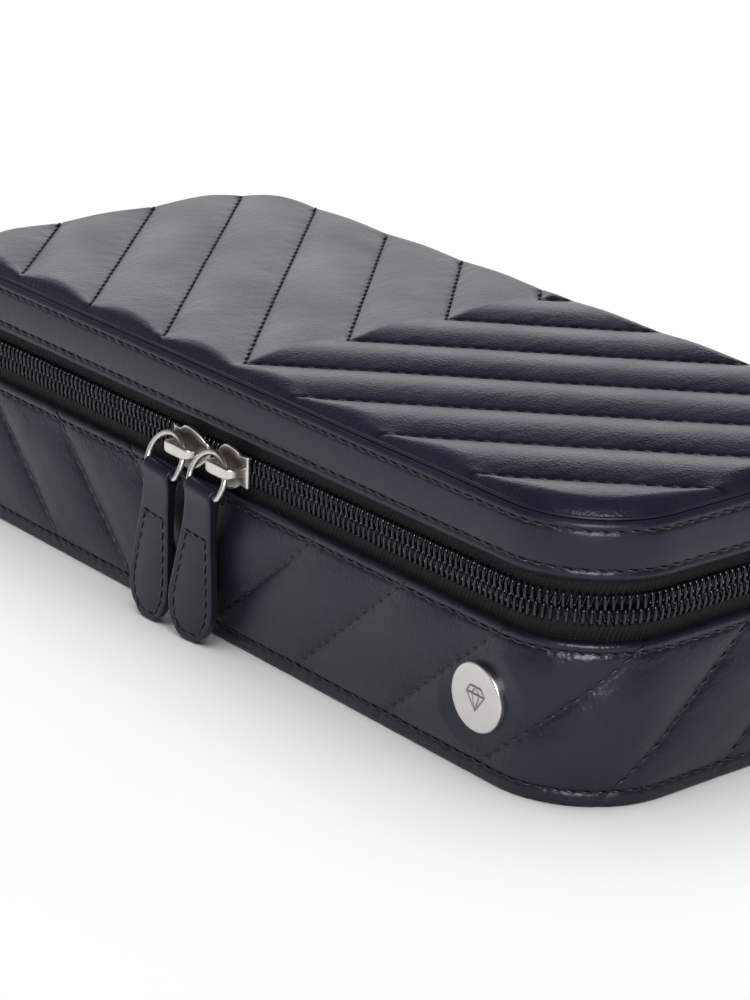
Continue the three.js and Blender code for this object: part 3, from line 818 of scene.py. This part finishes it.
def make_tape(name, body, replaced, up):
    """One tape: up is 1 for the lid's half and -1 for the base's."""
    steps = np.linspace(0, 1, 22)
    z = ZIP_CENTRE + up * (0.3 + TAPE_REACH * steps)
    face = TAPE_FACE + 0.25 * np.sin(math.pi * np.clip(steps * 1.6, 0, 1))
    front = list(zip(face, z))
    back = [(o - TAPE_THICK, h) for o, h in reversed(front)]
    profile = np.array(front + back)
    s = np.linspace(-ZIP_HALF, ZIP_HALF, 560)
    grid_s, grid_out = np.meshgrid(s, profile[:, 0], indexing="ij")
    grid_z = np.broadcast_to(profile[:, 1], grid_s.shape)
    uv = np.stack([grid_s, grid_z], -1) * MM
    points = wall_points(grid_s, grid_out, grid_z)
    obj = grid_object(name, points, tape_cloth, close_columns=True, uv=uv)
    finish_piece(obj, body, "zip_tape", replaced)


COIL_PITCH = 1.78
COIL_WIRE = 0.36
COIL_LEAN = 0.85
COIL_STEPS = 14


def make_coil(name, body, replaced, up):
    """One coil half: a flattened helix of nylon, its heads reaching across the zip's middle."""
    turns = int(2 * ZIP_HALF / COIL_PITCH)
    turn = np.arange(turns * COIL_STEPS) / COIL_STEPS
    phase = 2 * math.pi * turn
    middle, reach_z, reach_out = 1.6, 1.76, 0.85
    shift = 0.0 if up > 0 else 0.5
    # the limbs on the front stand nearly upright, those behind carry the pitch
    s = -ZIP_HALF + COIL_PITCH * (turn + shift + COIL_LEAN * np.cos(phase) / (2 * math.pi))
    z = ZIP_CENTRE + up * (middle + reach_z * np.cos(phase))
    out = -1.25 + reach_out * squared(np.sin(phase), 0.6)
    obj = tube(name, wall_points(s, out, z), COIL_WIRE, coil_nylon, 8)
    finish_piece(obj, body, "zip_coil", replaced)


# ---- Hinge strip and zip tabs ----

HINGE_TUCK = 6.5
HINGE_FACE = -2.7
HINGE_BULGE = 1.1
HINGE_THICK = 0.9


def make_hinge_strip():
    """The leather behind the gap, tucked into the base and the lid, which bends between them."""
    z = np.linspace(BASE_TOP - HINGE_TUCK, BAND_BOTTOM + HINGE_TUCK, 44)
    bulge = np.sin(math.pi * np.clip((z - BASE_TOP) / (BAND_BOTTOM - BASE_TOP), 0, 1))
    face = DEPTH / 2 + HINGE_FACE + HINGE_BULGE * bulge
    profile = np.array(list(zip(face, z)) + list(zip(face[::-1] - HINGE_THICK, z[::-1])))
    x = np.linspace(-HINGE_HALF, HINGE_HALF, 240)
    grid_x, grid_y = np.meshgrid(x, profile[:, 0], indexing="ij")
    grid_z = np.broadcast_to(profile[:, 1], grid_x.shape)
    soft = 0.12 * ripple(grid_x, grid_z, 14) * np.exp(-((grid_z - ZIP_CENTRE) / 4) ** 2)
    points = np.stack([grid_x, grid_y + soft, grid_z], -1)
    obj = grid_object("hinge_leather", points, calf, close_columns=True)
    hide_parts("hinge_strip_base", "hinge_strip_lid")
    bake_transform(obj)


def soften(obj, round_by):
    """Rounds an object's edges and applies the result."""
    bevel = obj.modifiers.new("round", "BEVEL")
    bevel.width = round_by * MM
    bevel.segments = 3
    bevel.limit_method = "ANGLE"
    bevel.angle_limit = math.radians(35)
    apply_modifiers(obj)
    obj.data.polygons.foreach_set("use_smooth", np.full(len(obj.data.polygons), True))
    sharp = obj.modifiers.new("normals", "WEIGHTED_NORMAL")
    sharp.keep_sharp = True
    apply_modifiers(obj)


def apply_modifiers(obj):
    graph = bpy.context.evaluated_depsgraph_get()
    graph.update()
    mesh = bpy.data.meshes.new_from_object(obj.evaluated_get(graph))
    obj.modifiers.clear()
    obj.data = mesh


def rounded_block(name, low, high, round_by, material):
    """A soft-cornered block between two corners."""
    mesh = bpy.data.meshes.new(name)
    size = (high - low) * MM
    middle = (high + low) / 2 * MM
    corners = [(x, y, z) for x in (-0.5, 0.5) for y in (-0.5, 0.5) for z in (-0.5, 0.5)]
    vertices = [tuple(middle + np.array(corner) * size) for corner in corners]
    faces = [(0, 1, 3, 2), (4, 6, 7, 5), (0, 4, 5, 1), (2, 3, 7, 6), (0, 2, 6, 4), (1, 5, 7, 3)]
    mesh.from_pydata(vertices, [], faces)
    obj = make_object(name, mesh, material)
    soften(obj, round_by)
    return obj


def make_softened(node_name, body, slot_name, material, round_by):
    """A finer piece with the shape of a CAD node and rounded edges."""
    source = frame["nodes"][node_name]
    mesh = source.data.copy()
    mesh.transform(source.matrix_world)
    mesh.materials.clear()
    obj = make_object(f"{node_name}_visual", mesh, material)
    # doubled corners are welded and flat triangles joined, so that only real edges are rounded
    weld = obj.modifiers.new("weld", "WELD")
    weld.merge_threshold = 0.02 * MM
    flat = obj.modifiers.new("flat", "DECIMATE")
    flat.decimate_type = "DISSOLVE"
    flat.angle_limit = math.radians(2)
    apply_modifiers(obj)
    soften(obj, round_by)
    finish_piece(obj, body, slot_name, node_name)


# ---- Metal ----

# the slider's face plate: half heights at places along it, from its square tail to its round nose
SLIDER_TAIL = 6.9
SLIDER_NOSE = 6.25
SLIDER_DOME = 5.3
SLIDER_SHAPE = ((-6.9, 3.9), (-6.2, 3.9), (-5.3, 3.75), (-4.5, 3.6), (-3.7, 3.9), (-2.7, 4.7), (-1.5, 5.2),
                (-0.3, 5.35), (1.0, 5.2), (2.4, 4.6), (3.8, 3.6), (5.2, 2.4))
SLIDER_NOSE_REACH = 6.25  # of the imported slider, from the middle of its body
PLATE_OUT = 1.1  # of the wall behind it
PLATE_THICK = 1.0
PLATE_DISH = 1.25
PLATE_SHARES = (0.01, 0.15, 0.3, 0.45, 0.6, 0.72, 0.83, 0.9)
PLATE_EDGE = ((0.42, 0.0), (0.2, 0.06), (0.06, 0.2), (0.0, 0.4))
STRAP_TAIL = -5.3
STRAP_NOSE = 4.3
STRAP_RISE = 4.1
STRAP_POWER = 0.42


def slider_outline():
    """The face plate's outline: a square tail at -u, a waist, and a round nose at +u."""
    places, halves = np.array(SLIDER_SHAPE).T
    tail = np.stack([np.full(8, -SLIDER_TAIL), np.linspace(0, halves[0], 8)], -1)[:-1]
    along = np.linspace(-SLIDER_TAIL, places[-1], 60)
    smooth = np.interp(along, places, halves)
    smooth[2:-2] = (smooth[:-4] + smooth[1:-3] + smooth[2:-2] + smooth[3:-1] + smooth[4:]) / 5
    turn = np.linspace(0, math.pi / 2, 24)[1:]
    nose = np.stack([places[-1] + (SLIDER_NOSE - places[-1]) * np.sin(turn), halves[-1] * np.cos(turn)], -1)
    upper = np.concatenate([tail, np.stack([along, smooth], -1), nose])
    lower = upper[1:-1][::-1] * (1, -1)
    return evenly(np.concatenate([upper, lower, upper[:1]]), 130, endpoint=False)[0]


def plate_rings(front, thick, dish):
    """Rows of points that make a dished plate with rounded edges, as (u, y, v)."""
    edge = slider_outline()
    reach = np.linalg.norm(edge, axis=1)[:, None]
    rows = [(edge * share, 0.0) for share in PLATE_SHARES]
    rows += [(edge * (1 - inset / reach), depth) for inset, depth in PLATE_EDGE]
    rows += [(edge * (1 - inset / reach), thick - depth) for inset, depth in reversed(PLATE_EDGE)]
    rows += [(edge * share, thick) for share in (0.8, 0.5, 0.01)]
    u, v = np.moveaxis(np.array([ring for ring, _ in rows]), -1, 0)
    depths = np.array([depth for _, depth in rows])[:, None]
    flat = np.clip((-u - 3.4) / 2.0, 0, 1)
    nose = np.clip((u - 2.0) / (SLIDER_NOSE - 2.0), 0, 1)
    curve = dish * (1 - flat) * ((v / SLIDER_DOME) ** 2 - 0.35) - 0.4 * dish * nose ** 2
    return np.stack([u, front + depths - curve, v], -1)


def plate_dish_shade(rings):
    """How far a point of the face plate lies in its dish, the mask for its painted shade: 1 in the middle, 0
    at the rim and behind.
    """
    edge = slider_outline()
    share = np.linalg.norm(rings[..., (0, 2)], axis=-1) / np.linalg.norm(edge, axis=1)
    facing = np.arange(len(rings))[:, None] < len(PLATE_SHARES)
    return (np.clip(1.25 * (1 - share ** 3), 0, 1) * facing).ravel()


def strap_rings(front):
    """Rows of points along the strap that the ring hangs on, as (u, y, v)."""
    middle, half = (STRAP_TAIL + STRAP_NOSE) / 2, (STRAP_NOSE - STRAP_TAIL) / 2
    turn = np.linspace(math.pi, 0, 46)
    out = front + 0.3 - (STRAP_RISE + 0.3) * np.sin(turn) ** STRAP_POWER
    path = np.stack([middle + half * squared(np.cos(turn), STRAP_POWER), out, np.zeros_like(turn)], -1)
    path, share = evenly(path, 60)
    side = np.cross(unit(np.gradient(path, axis=0)), (0, 0, 1.0))
    tail, from_nose = np.exp(-(share / 0.07) ** 2), 1 - share
    wide = 0.95 + 0.5 * np.exp(-(np.abs(share - 0.5) / 0.27) ** 4)
    wide = wide + 0.3 * tail + 0.3 * np.exp(-(from_nose / 0.07) ** 2)
    thick = 0.62 + 0.22 * tail + 0.25 * np.exp(-(from_nose / 0.09) ** 2)
    turn = around(32)
    cos, sin = squared(np.cos(turn), 0.4), squared(np.sin(turn), 0.4)
    ring = (side[:, None] * (cos[None] * thick[:, None])[..., None]
            + np.array([0, 0, 1.0]) * (sin[None] * wide[:, None])[..., None])
    return path[:, None] + ring


def make_slider(side):
    """The cast slider: a dished face plate, the strap for the ring, the web and the back plate."""
    low, high = box_mm(f"slider_{side}_body")
    facing = 1 if side == "left" else -1
    middle = high[0] - SLIDER_NOSE_REACH if side == "left" else low[0] + SLIDER_NOSE_REACH
    front = -DEPTH / 2 - PLATE_OUT
    back = high[1] - PLATE_THICK
    turn = around(24)
    u = 0.25 + 2.25 * squared(np.cos(turn), 0.6)
    web = [np.stack([u, np.full_like(u, y), 0.3 * np.sin(turn)], -1)
           for y in np.linspace(front + 0.6, back + 0.4, 6)]
    shells = [plate_rings(front, PLATE_THICK, PLATE_DISH), plate_rings(back, 0.98, 0.0), strap_rings(front),
              np.array(web)]
    vertices, faces, count = [], [], 0
    # the mask for the painted shade in the plate's dish
    hollow_shade = plate_dish_shade(shells[0])
    for rings in shells:
        rows, columns = rings.shape[:2]
        vertices.append(rings.reshape(-1, 3))
        faces.append(grid_faces(rows, columns, False, True, count))
        count += rows * columns
    points = np.concatenate(vertices)
    points = np.stack([middle + facing * points[:, 0], points[:, 1], ZIP_CENTRE + facing * points[:, 2]], -1)
    obj = mesh_from(f"slider_{side}_cast", points, np.concatenate(faces), nickel)
    add_vertex_value(obj, "hollow_shade", np.concatenate([hollow_shade, np.zeros(len(points) - len(hollow_shade))]))
    finish_piece(obj, f"slider_{side}", "nickel", f"slider_{side}_body")


RING_RADIUS = 6.2
RING_HEIGHT = 9.6
RING_CORNER = 0.9
RING_BAR_HALF = 5.8
RING_TILT = math.radians(22)
WIRE = 0.74
JOINTS = {joint["name"]: joint for joint in frame["joints"]}


def ring_bar(side):
    """The middle of the bar that the tab hangs on, the way along the bar, and the way down from it."""
    joint = JOINTS[f"pull_{side}_lift"]
    across = -np.array(joint["axis"], float)
    down = np.array([across[2], 0.0, -across[0]])
    return np.array(joint["pos_m"], float) / MM, across, down


def ring_outline():
    """The bent wire's middle line, in its own plane: x along the bar and a drop below the top."""
    bow = [(x, RING_RADIUS - y) for x, y in arc((0, 0), RING_RADIUS, -12, 192, 46)]
    bend = np.linspace(0, math.pi / 2, 7)
    inner, low = RING_BAR_HALF - RING_CORNER, RING_HEIGHT - RING_CORNER
    left = [(-inner - RING_CORNER * math.cos(turn), low + RING_CORNER * math.sin(turn)) for turn in bend]
    right = [(-x, drop) for x, drop in reversed(left)]
    return evenly(np.array(bow + left + right + bow[:1]), 110, endpoint=False)[0]


def make_ring(side):
    bar, across, down = ring_bar(side)
    flat = ring_outline()
    slope = down * math.cos(RING_TILT) + np.array([0, -math.sin(RING_TILT), 0])
    points = bar + flat[:, :1] * across + (flat[:, 1:] - RING_HEIGHT) * slope
    obj = tube(f"ring_{side}_wire", points, WIRE, nickel, 14, closed=True)
    finish_piece(obj, f"ring_{side}", "nickel", f"pull_ring_{side}")


BADGE_RIM = 0.6
GEM_LINES = (((-2.9, 0.9), (-1.7, 2.6)), ((-1.7, 2.6), (1.7, 2.6)), ((1.7, 2.6), (2.9, 0.9)),
             ((2.9, 0.9), (0, -2.9)), ((0, -2.9), (-2.9, 0.9)), ((-2.9, 0.9), (2.9, 0.9)),
             ((-1.2, 0.9), (0, -2.9)), ((1.2, 0.9), (0, -2.9)), ((-1.2, 0.9), (0, 2.6)),
             ((0, 2.6), (1.2, 0.9)))
FAR = 9.0  # farther from a line than its groove reaches


def make_badge():
    """A plain disc with a softened rim and a small cut-gem outline engraved in its face."""
    low, high = BADGE_LOW, BADGE_HIGH
    middle = (low + high) / 2
    radius = (high[0] - low[0]) / 2
    rim = np.sin(np.linspace(0.15, 1, 6) * math.pi / 2)
    rings = np.concatenate([np.linspace(0, radius - BADGE_RIM, 80), radius - BADGE_RIM * (1 - rim)])
    turn = around(220)
    grid_r, grid_t = np.meshgrid(rings, turn, indexing="ij")
    u, v = grid_r * np.cos(grid_t), grid_r * np.sin(grid_t)
    near = np.full(u.shape, FAR)
    for (ax, ay), (bx, by) in GEM_LINES:
        ex, ey = bx - ax, by - ay
        t = np.clip(((u - ax) * ex + (v - ay) * ey) / (ex * ex + ey * ey), 0, 1)
        near = np.minimum(near, np.hypot(u - ax - t * ex, v - ay - t * ey))
    line = np.exp(-(near / 0.2) ** 2)
    past = np.maximum(grid_r - radius + BADGE_RIM, 0)
    drop = BADGE_RIM - np.sqrt(np.maximum(BADGE_RIM ** 2 - past ** 2, 0))
    y = low[1] + drop + 0.22 * line
    points = np.stack([middle[0] + u, y, middle[2] + v], -1)
    side = np.stack([middle[0] + radius * np.cos(turn), np.full_like(turn, high[1] + 0.2),
                     middle[2] + radius * np.sin(turn)], -1)[None]
    points = np.concatenate([points, side])
    obj = grid_object("badge_face", points, nickel_badge, close_columns=True)
    # painted shade: the engraved lines and the disc's side are darkened
    add_vertex_value(obj, "hollow_shade", np.concatenate([(0.85 * line).ravel(), np.full(len(turn), 0.6)]))
    finish_piece(obj, "base", "nickel", "badge_disc")


# ---- Pull tabs ----

PULL_LENGTH = 38.2
PULL_FOLD = 2.1
PULL_THIN = 1.2
PULL_OUTLINE = ((-2.1, 4.95), (0.0, 5.1), (3.0, 5.05), (8.0, 5.2), (13.0, 5.8), (20.0, 6.8), (27.0, 7.65),
                (30.0, 7.7))
PULL_ROUND_FROM = 28.0
PULL_CROSS = 11.0
PULL_SEAM_INSET = 2.0
PULL_PITCH = 2.9
PULL_BEND = 0.9


def pull_half_width(drop):
    """Half the tab's width at a drop below the ring's bar: nearly straight sides and a round end."""
    straight = np.interp(drop, *np.array(PULL_OUTLINE).T)
    t = np.clip((drop - PULL_ROUND_FROM) / (PULL_LENGTH - PULL_ROUND_FROM), 0, 1)
    return straight * np.sqrt(np.maximum(1 - t ** 2.2, 0))


def pull_half_thick(drop):
    fold = np.sqrt(np.maximum(PULL_FOLD ** 2 - np.minimum(drop, 0) ** 2, 0))
    body = PULL_THIN + (PULL_FOLD - PULL_THIN) * np.exp(-np.maximum(drop, 0) / 2.4)
    end = np.clip((PULL_LENGTH - drop) / 0.9, 0, 1) ** 0.5
    return np.where(drop < 0, fold, body) * (0.55 + 0.45 * end)


def make_pull(side, lean):
    bar, across, down = ring_bar(side)
    back = np.array([0, 1.0, 0])

    def placed(x, y, drop):
        """A point of the tab from its place across, through and down the leather."""
        share = np.clip(drop / PULL_LENGTH, 0, 1)
        twist = math.radians(lean) * share
        bend = PULL_BEND * np.sin(share * math.pi / 2) ** 2
        px = x * np.cos(twist) - y * np.sin(twist)
        py = x * np.sin(twist) + y * np.cos(twist) - bend
        return bar + px[..., None] * across + py[..., None] * back + drop[..., None] * down

    drops = np.concatenate([-PULL_FOLD * np.cos(np.linspace(0.02, math.pi / 2, 9)),
                            np.linspace(0.4, PULL_LENGTH - 1.5, 74),
                            PULL_LENGTH - 1.5 * (1 - np.sin(np.linspace(0.12, 0.99, 9) * math.pi / 2))])
    turn = around(56)
    power = 0.22
    grid_d, grid_x = np.meshgrid(drops, squared(np.cos(turn), power), indexing="ij")
    grid_y = np.broadcast_to(squared(np.sin(turn), power), grid_d.shape)
    half_w = pull_half_width(grid_d)
    x = grid_x * half_w
    y = grid_y * pull_half_thick(grid_d)
    # the stitched line pulls the two layers together
    inset = PULL_SEAM_INSET
    line = np.where(grid_d > PULL_CROSS - 0.5, np.abs(half_w - np.abs(x) - inset), FAR)
    end = np.abs((PULL_LENGTH - grid_d) - inset)
    cross = np.where(np.abs(x) < half_w - inset, np.abs(grid_d - PULL_CROSS), FAR)
    near = np.minimum(np.minimum(line, cross), end)
    press = 0.2 * np.exp(-(near / 0.55) ** 2)
    puff = 0.22 * pillow(np.minimum(half_w - np.abs(x) - inset, grid_d - PULL_CROSS), 3, 2)
    puff = puff * (grid_d > PULL_CROSS)
    flat = np.abs(grid_y) > 0.7
    y = y + np.sign(y) * np.where(flat, puff - press, 0)
    # a groove between the two layers, all round the edge
    x = x - np.sign(x) * np.where((np.abs(grid_y) < 0.25) & (grid_d > 3), 0.16, 0)
    obj = grid_object(f"pull_{side}_leather", placed(x, y, grid_d), quilted, close_columns=True)
    # nearness to the stitched lines: the mask for the painted shade in their grooves
    add_vertex_value(obj, "seam", np.exp(-(near / 0.5) ** 2) * flat)
    finish_piece(obj, f"pull_{side}", "leather", f"pull_tab_{side}")

    # stitches on both faces, down the sides, round the end and across
    def at(x, drop, face):
        return placed(x, face * (pull_half_thick(drop) + 0.02), drop)

    edge_d = np.linspace(PULL_CROSS, PULL_LENGTH - inset, 200)
    edge_x = np.maximum(pull_half_width(edge_d) - inset, 0)
    edge_x = np.where(edge_d > PULL_LENGTH - inset - 0.02, 0, edge_x)
    loop_x = np.concatenate([-edge_x, edge_x[::-1]])
    loop_d = np.concatenate([edge_d, edge_d[::-1]])
    gaps = distances_along(np.stack([loop_x, loop_d], -1))
    middles = np.arange(PULL_PITCH / 2, gaps[-1], PULL_PITCH)
    seams = []
    for face in (-1, 1):
        def on_loop(shift, face=face):
            along = middles + shift
            return at(np.interp(along, gaps, loop_x), np.interp(along, gaps, loop_d), face)
        up = np.tile((0.0, float(face), 0.0), (len(middles), 1))
        seams.append((on_loop(0), on_loop(0.3) - on_loop(-0.3), up))
        row = np.linspace(-3.0, 3.0, 3)
        seams.append((at(row, np.full(3, PULL_CROSS), face), np.tile(across, (3, 1)), up[:3]))
    threads = stitch_object(f"pull_{side}_stitching", seams, sewing, length=2.65,
                            half_width=0.24, rise=0.06, slant=0.1)
    finish_piece(threads, f"pull_{side}", "leather")


# ---- Inside ----

def make_roll(number):
    """A foam ring roll in suede: flat below, full and round above, its ends tucked in."""
    name = f"ring_roll_{number}"
    low, high = box_mm(name)
    middle, half = (low + high) / 2, (high - low) / 2
    turn = around(40)
    sin = np.sin(turn)
    section_x = squared(np.cos(turn), 0.55)
    section_z = squared(sin, np.where(sin > 0, 0.8, 0.35))
    t = np.sin(np.linspace(-1, 1, 90) * math.pi / 2)
    tuck = 0.35 + 0.65 * (1 - np.abs(t) ** 14) ** 0.5
    tuck[0] = tuck[-1] = 0.02
    grid_t, grid_x = np.meshgrid(t, section_x, indexing="ij")
    grid_z = np.broadcast_to(section_z, grid_t.shape)
    size = np.broadcast_to(tuck[:, None], grid_t.shape)
    wrinkle = 1 + 0.012 * ripple(grid_t * half[1], grid_z * 9 + number * 31, 11)
    x = middle[0] + grid_x * half[0] * size * wrinkle * 0.985
    z = middle[2] + grid_z * half[2] * (0.55 + 0.45 * size) * wrinkle * 0.99
    points = np.stack([x, grid_t * half[1], z], -1)
    obj = grid_object(f"{name}_soft", points, taupe, close_columns=True)
    finish_piece(obj, "ring_insert", "suede", name)


def make_inside():
    make_softened("base_liner", "base", "suede", taupe, 0.6)
    make_softened("lid_lining", "lid", "suede", taupe, 0.5)
    make_softened("ring_insert_shell", "ring_insert", "suede", taupe, 0.7)
    make_softened("compartment_insert_shell", "compartment_insert", "suede", taupe, 0.7)
    for name in ("divider_long", "divider_front_1", "divider_front_2", "divider_back"):
        make_softened(name, "compartment_insert", "suede", taupe, 0.7)
    for number in range(1, 7):
        make_roll(number)
    make_softened("mirror_frame", "lid", "leather", calf, 0.6)
    make_softened("mirror_glass", "lid", "mirror", mirror, 0.35)
    make_softened("base_inner_rim", "base", "leather", calf, 0.35)
    make_softened("lid_inner_rim", "lid", "leather", calf, 0.3)
    make_softened("base_underside_cover", "base", "leather", calf, 0.5)


def make_zip_tabs():
    for side in ("left", "right"):
        node_name = f"zip_end_tab_{side}"
        low, high = box_mm(node_name)
        finish_piece(rounded_block(f"zip_tab_{side}", low, high, 0.8, calf), "base", "leather", node_name)


def dress_hidden_boards():
    """The boards and the washer keep their CAD shapes."""
    for name, material in (("base_floor_board", board), ("base_wall_board", board), ("lid_board", board),
                           ("badge_washer", nickel)):
        obj = frame["nodes"][name]
        obj.data.materials.clear()
        obj.data.materials.append(material)


# ---- Stage ----

CAMERA_PLACE = (0.54338, -0.46008, 0.28825)
CAMERA_BACK = (0.7186682, -0.60062646, 0.35037676)
CAMERA_RIGHT = (0.63174501, 0.77451907, 0.03191307)
CAMERA_UP = (-0.29054132, 0.19841386, 0.936065)
LENS_MM = 110.83


def set_camera():
    data = bpy.data.cameras.new("camera")
    data.lens = LENS_MM
    data.sensor_width = 36
    data.clip_start = 0.01
    obj = bpy.data.objects.new("camera", data)
    bpy.context.scene.collection.objects.link(obj)
    axes = Matrix((CAMERA_RIGHT, CAMERA_UP, CAMERA_BACK)).transposed().to_4x4()
    obj.matrix_world = Matrix.Translation(CAMERA_PLACE) @ axes
    bpy.context.scene.camera = obj


def area_light(name, place, target, size, power):
    data = bpy.data.lights.new(name, "AREA")
    data.shape = "RECTANGLE"
    data.size, data.size_y = size
    data.energy = power
    obj = bpy.data.objects.new(name, data)
    bpy.context.scene.collection.objects.link(obj)
    way = np.array(target, float) - np.array(place, float)
    obj.rotation_euler = Vector(way).to_track_quat("-Z", "Y").to_euler()
    obj.location = place
    return obj


BACKDROP_WAY = (-0.77, 0.64)


def set_world():
    """A bright backdrop low behind the case, with a dimmer studio overhead and in front."""
    world = bpy.data.worlds.new("studio")
    world.use_nodes = True
    tree = world.node_tree
    generated = tree.nodes.new("ShaderNodeTexCoord").outputs["Generated"]
    way = node(tree, "ShaderNodeSeparateXYZ", {0: generated}).outputs
    toward = weighted(tree, (way[0], BACKDROP_WAY[0]), (way[1], BACKDROP_WAY[1]))
    overhead = ramp(tree, way[2], 0.28, 0.64, 0.65, 0.04)
    round_about = ramp(tree, toward, -0.7, 0.6, 0.33, 1.0)
    strength = math_node(tree, "MULTIPLY", overhead, round_about)
    set_inputs(tree, tree.nodes["Background"], {0: (1, 1, 1, 1), 1: strength})
    bpy.context.scene.world = world


def set_stage():
    floor = mesh_from("floor", [(-6000, -6000, 0), (6000, -6000, 0), (6000, 6000, 0), (-6000, 6000, 0)],
                      [(0, 1, 2, 3)], pale_floor("floor_paper"))
    set_world()
    sky = bpy.data.lights.new("overhead", "SUN")
    sky.energy = 3.1
    sky.angle = math.radians(80)
    obj = bpy.data.objects.new("overhead", sky)
    obj.visible_glossy = False
    bpy.context.scene.collection.objects.link(obj)
    area_light("left_back", (-0.9, 0.7, 0.45), (0, 0, 0.04), (0.9, 0.5), 1.8)
    softbox = area_light("softbox", (0.76, -0.70, 0.64), (0, 0, 0.04), (0.44, 0.4), 12)
    softbox.visible_diffuse = False
    bpy.context.scene.view_settings.view_transform = "Standard"


make_base_cover()
make_base_stitches()
make_lid_band()
make_lid_stitches()
make_piping()
make_top_pad()
make_top_stitches()
make_tape("zip_tape_lower", "base", "zip_tape_base", -1)
make_tape("zip_tape_upper", "lid", "zip_tape_lid", 1)
make_coil("zip_coil_lower", "base", "zip_coil_base", -1)
make_coil("zip_coil_upper", "lid", "zip_coil_lid", 1)
make_hinge_strip()
make_zip_tabs()
for side in ("left", "right"):
    make_slider(side)
    make_ring(side)
make_pull("left", 0)
make_pull("right", 7)
make_badge()
make_inside()
dress_hidden_boards()
set_stage()
set_camera()
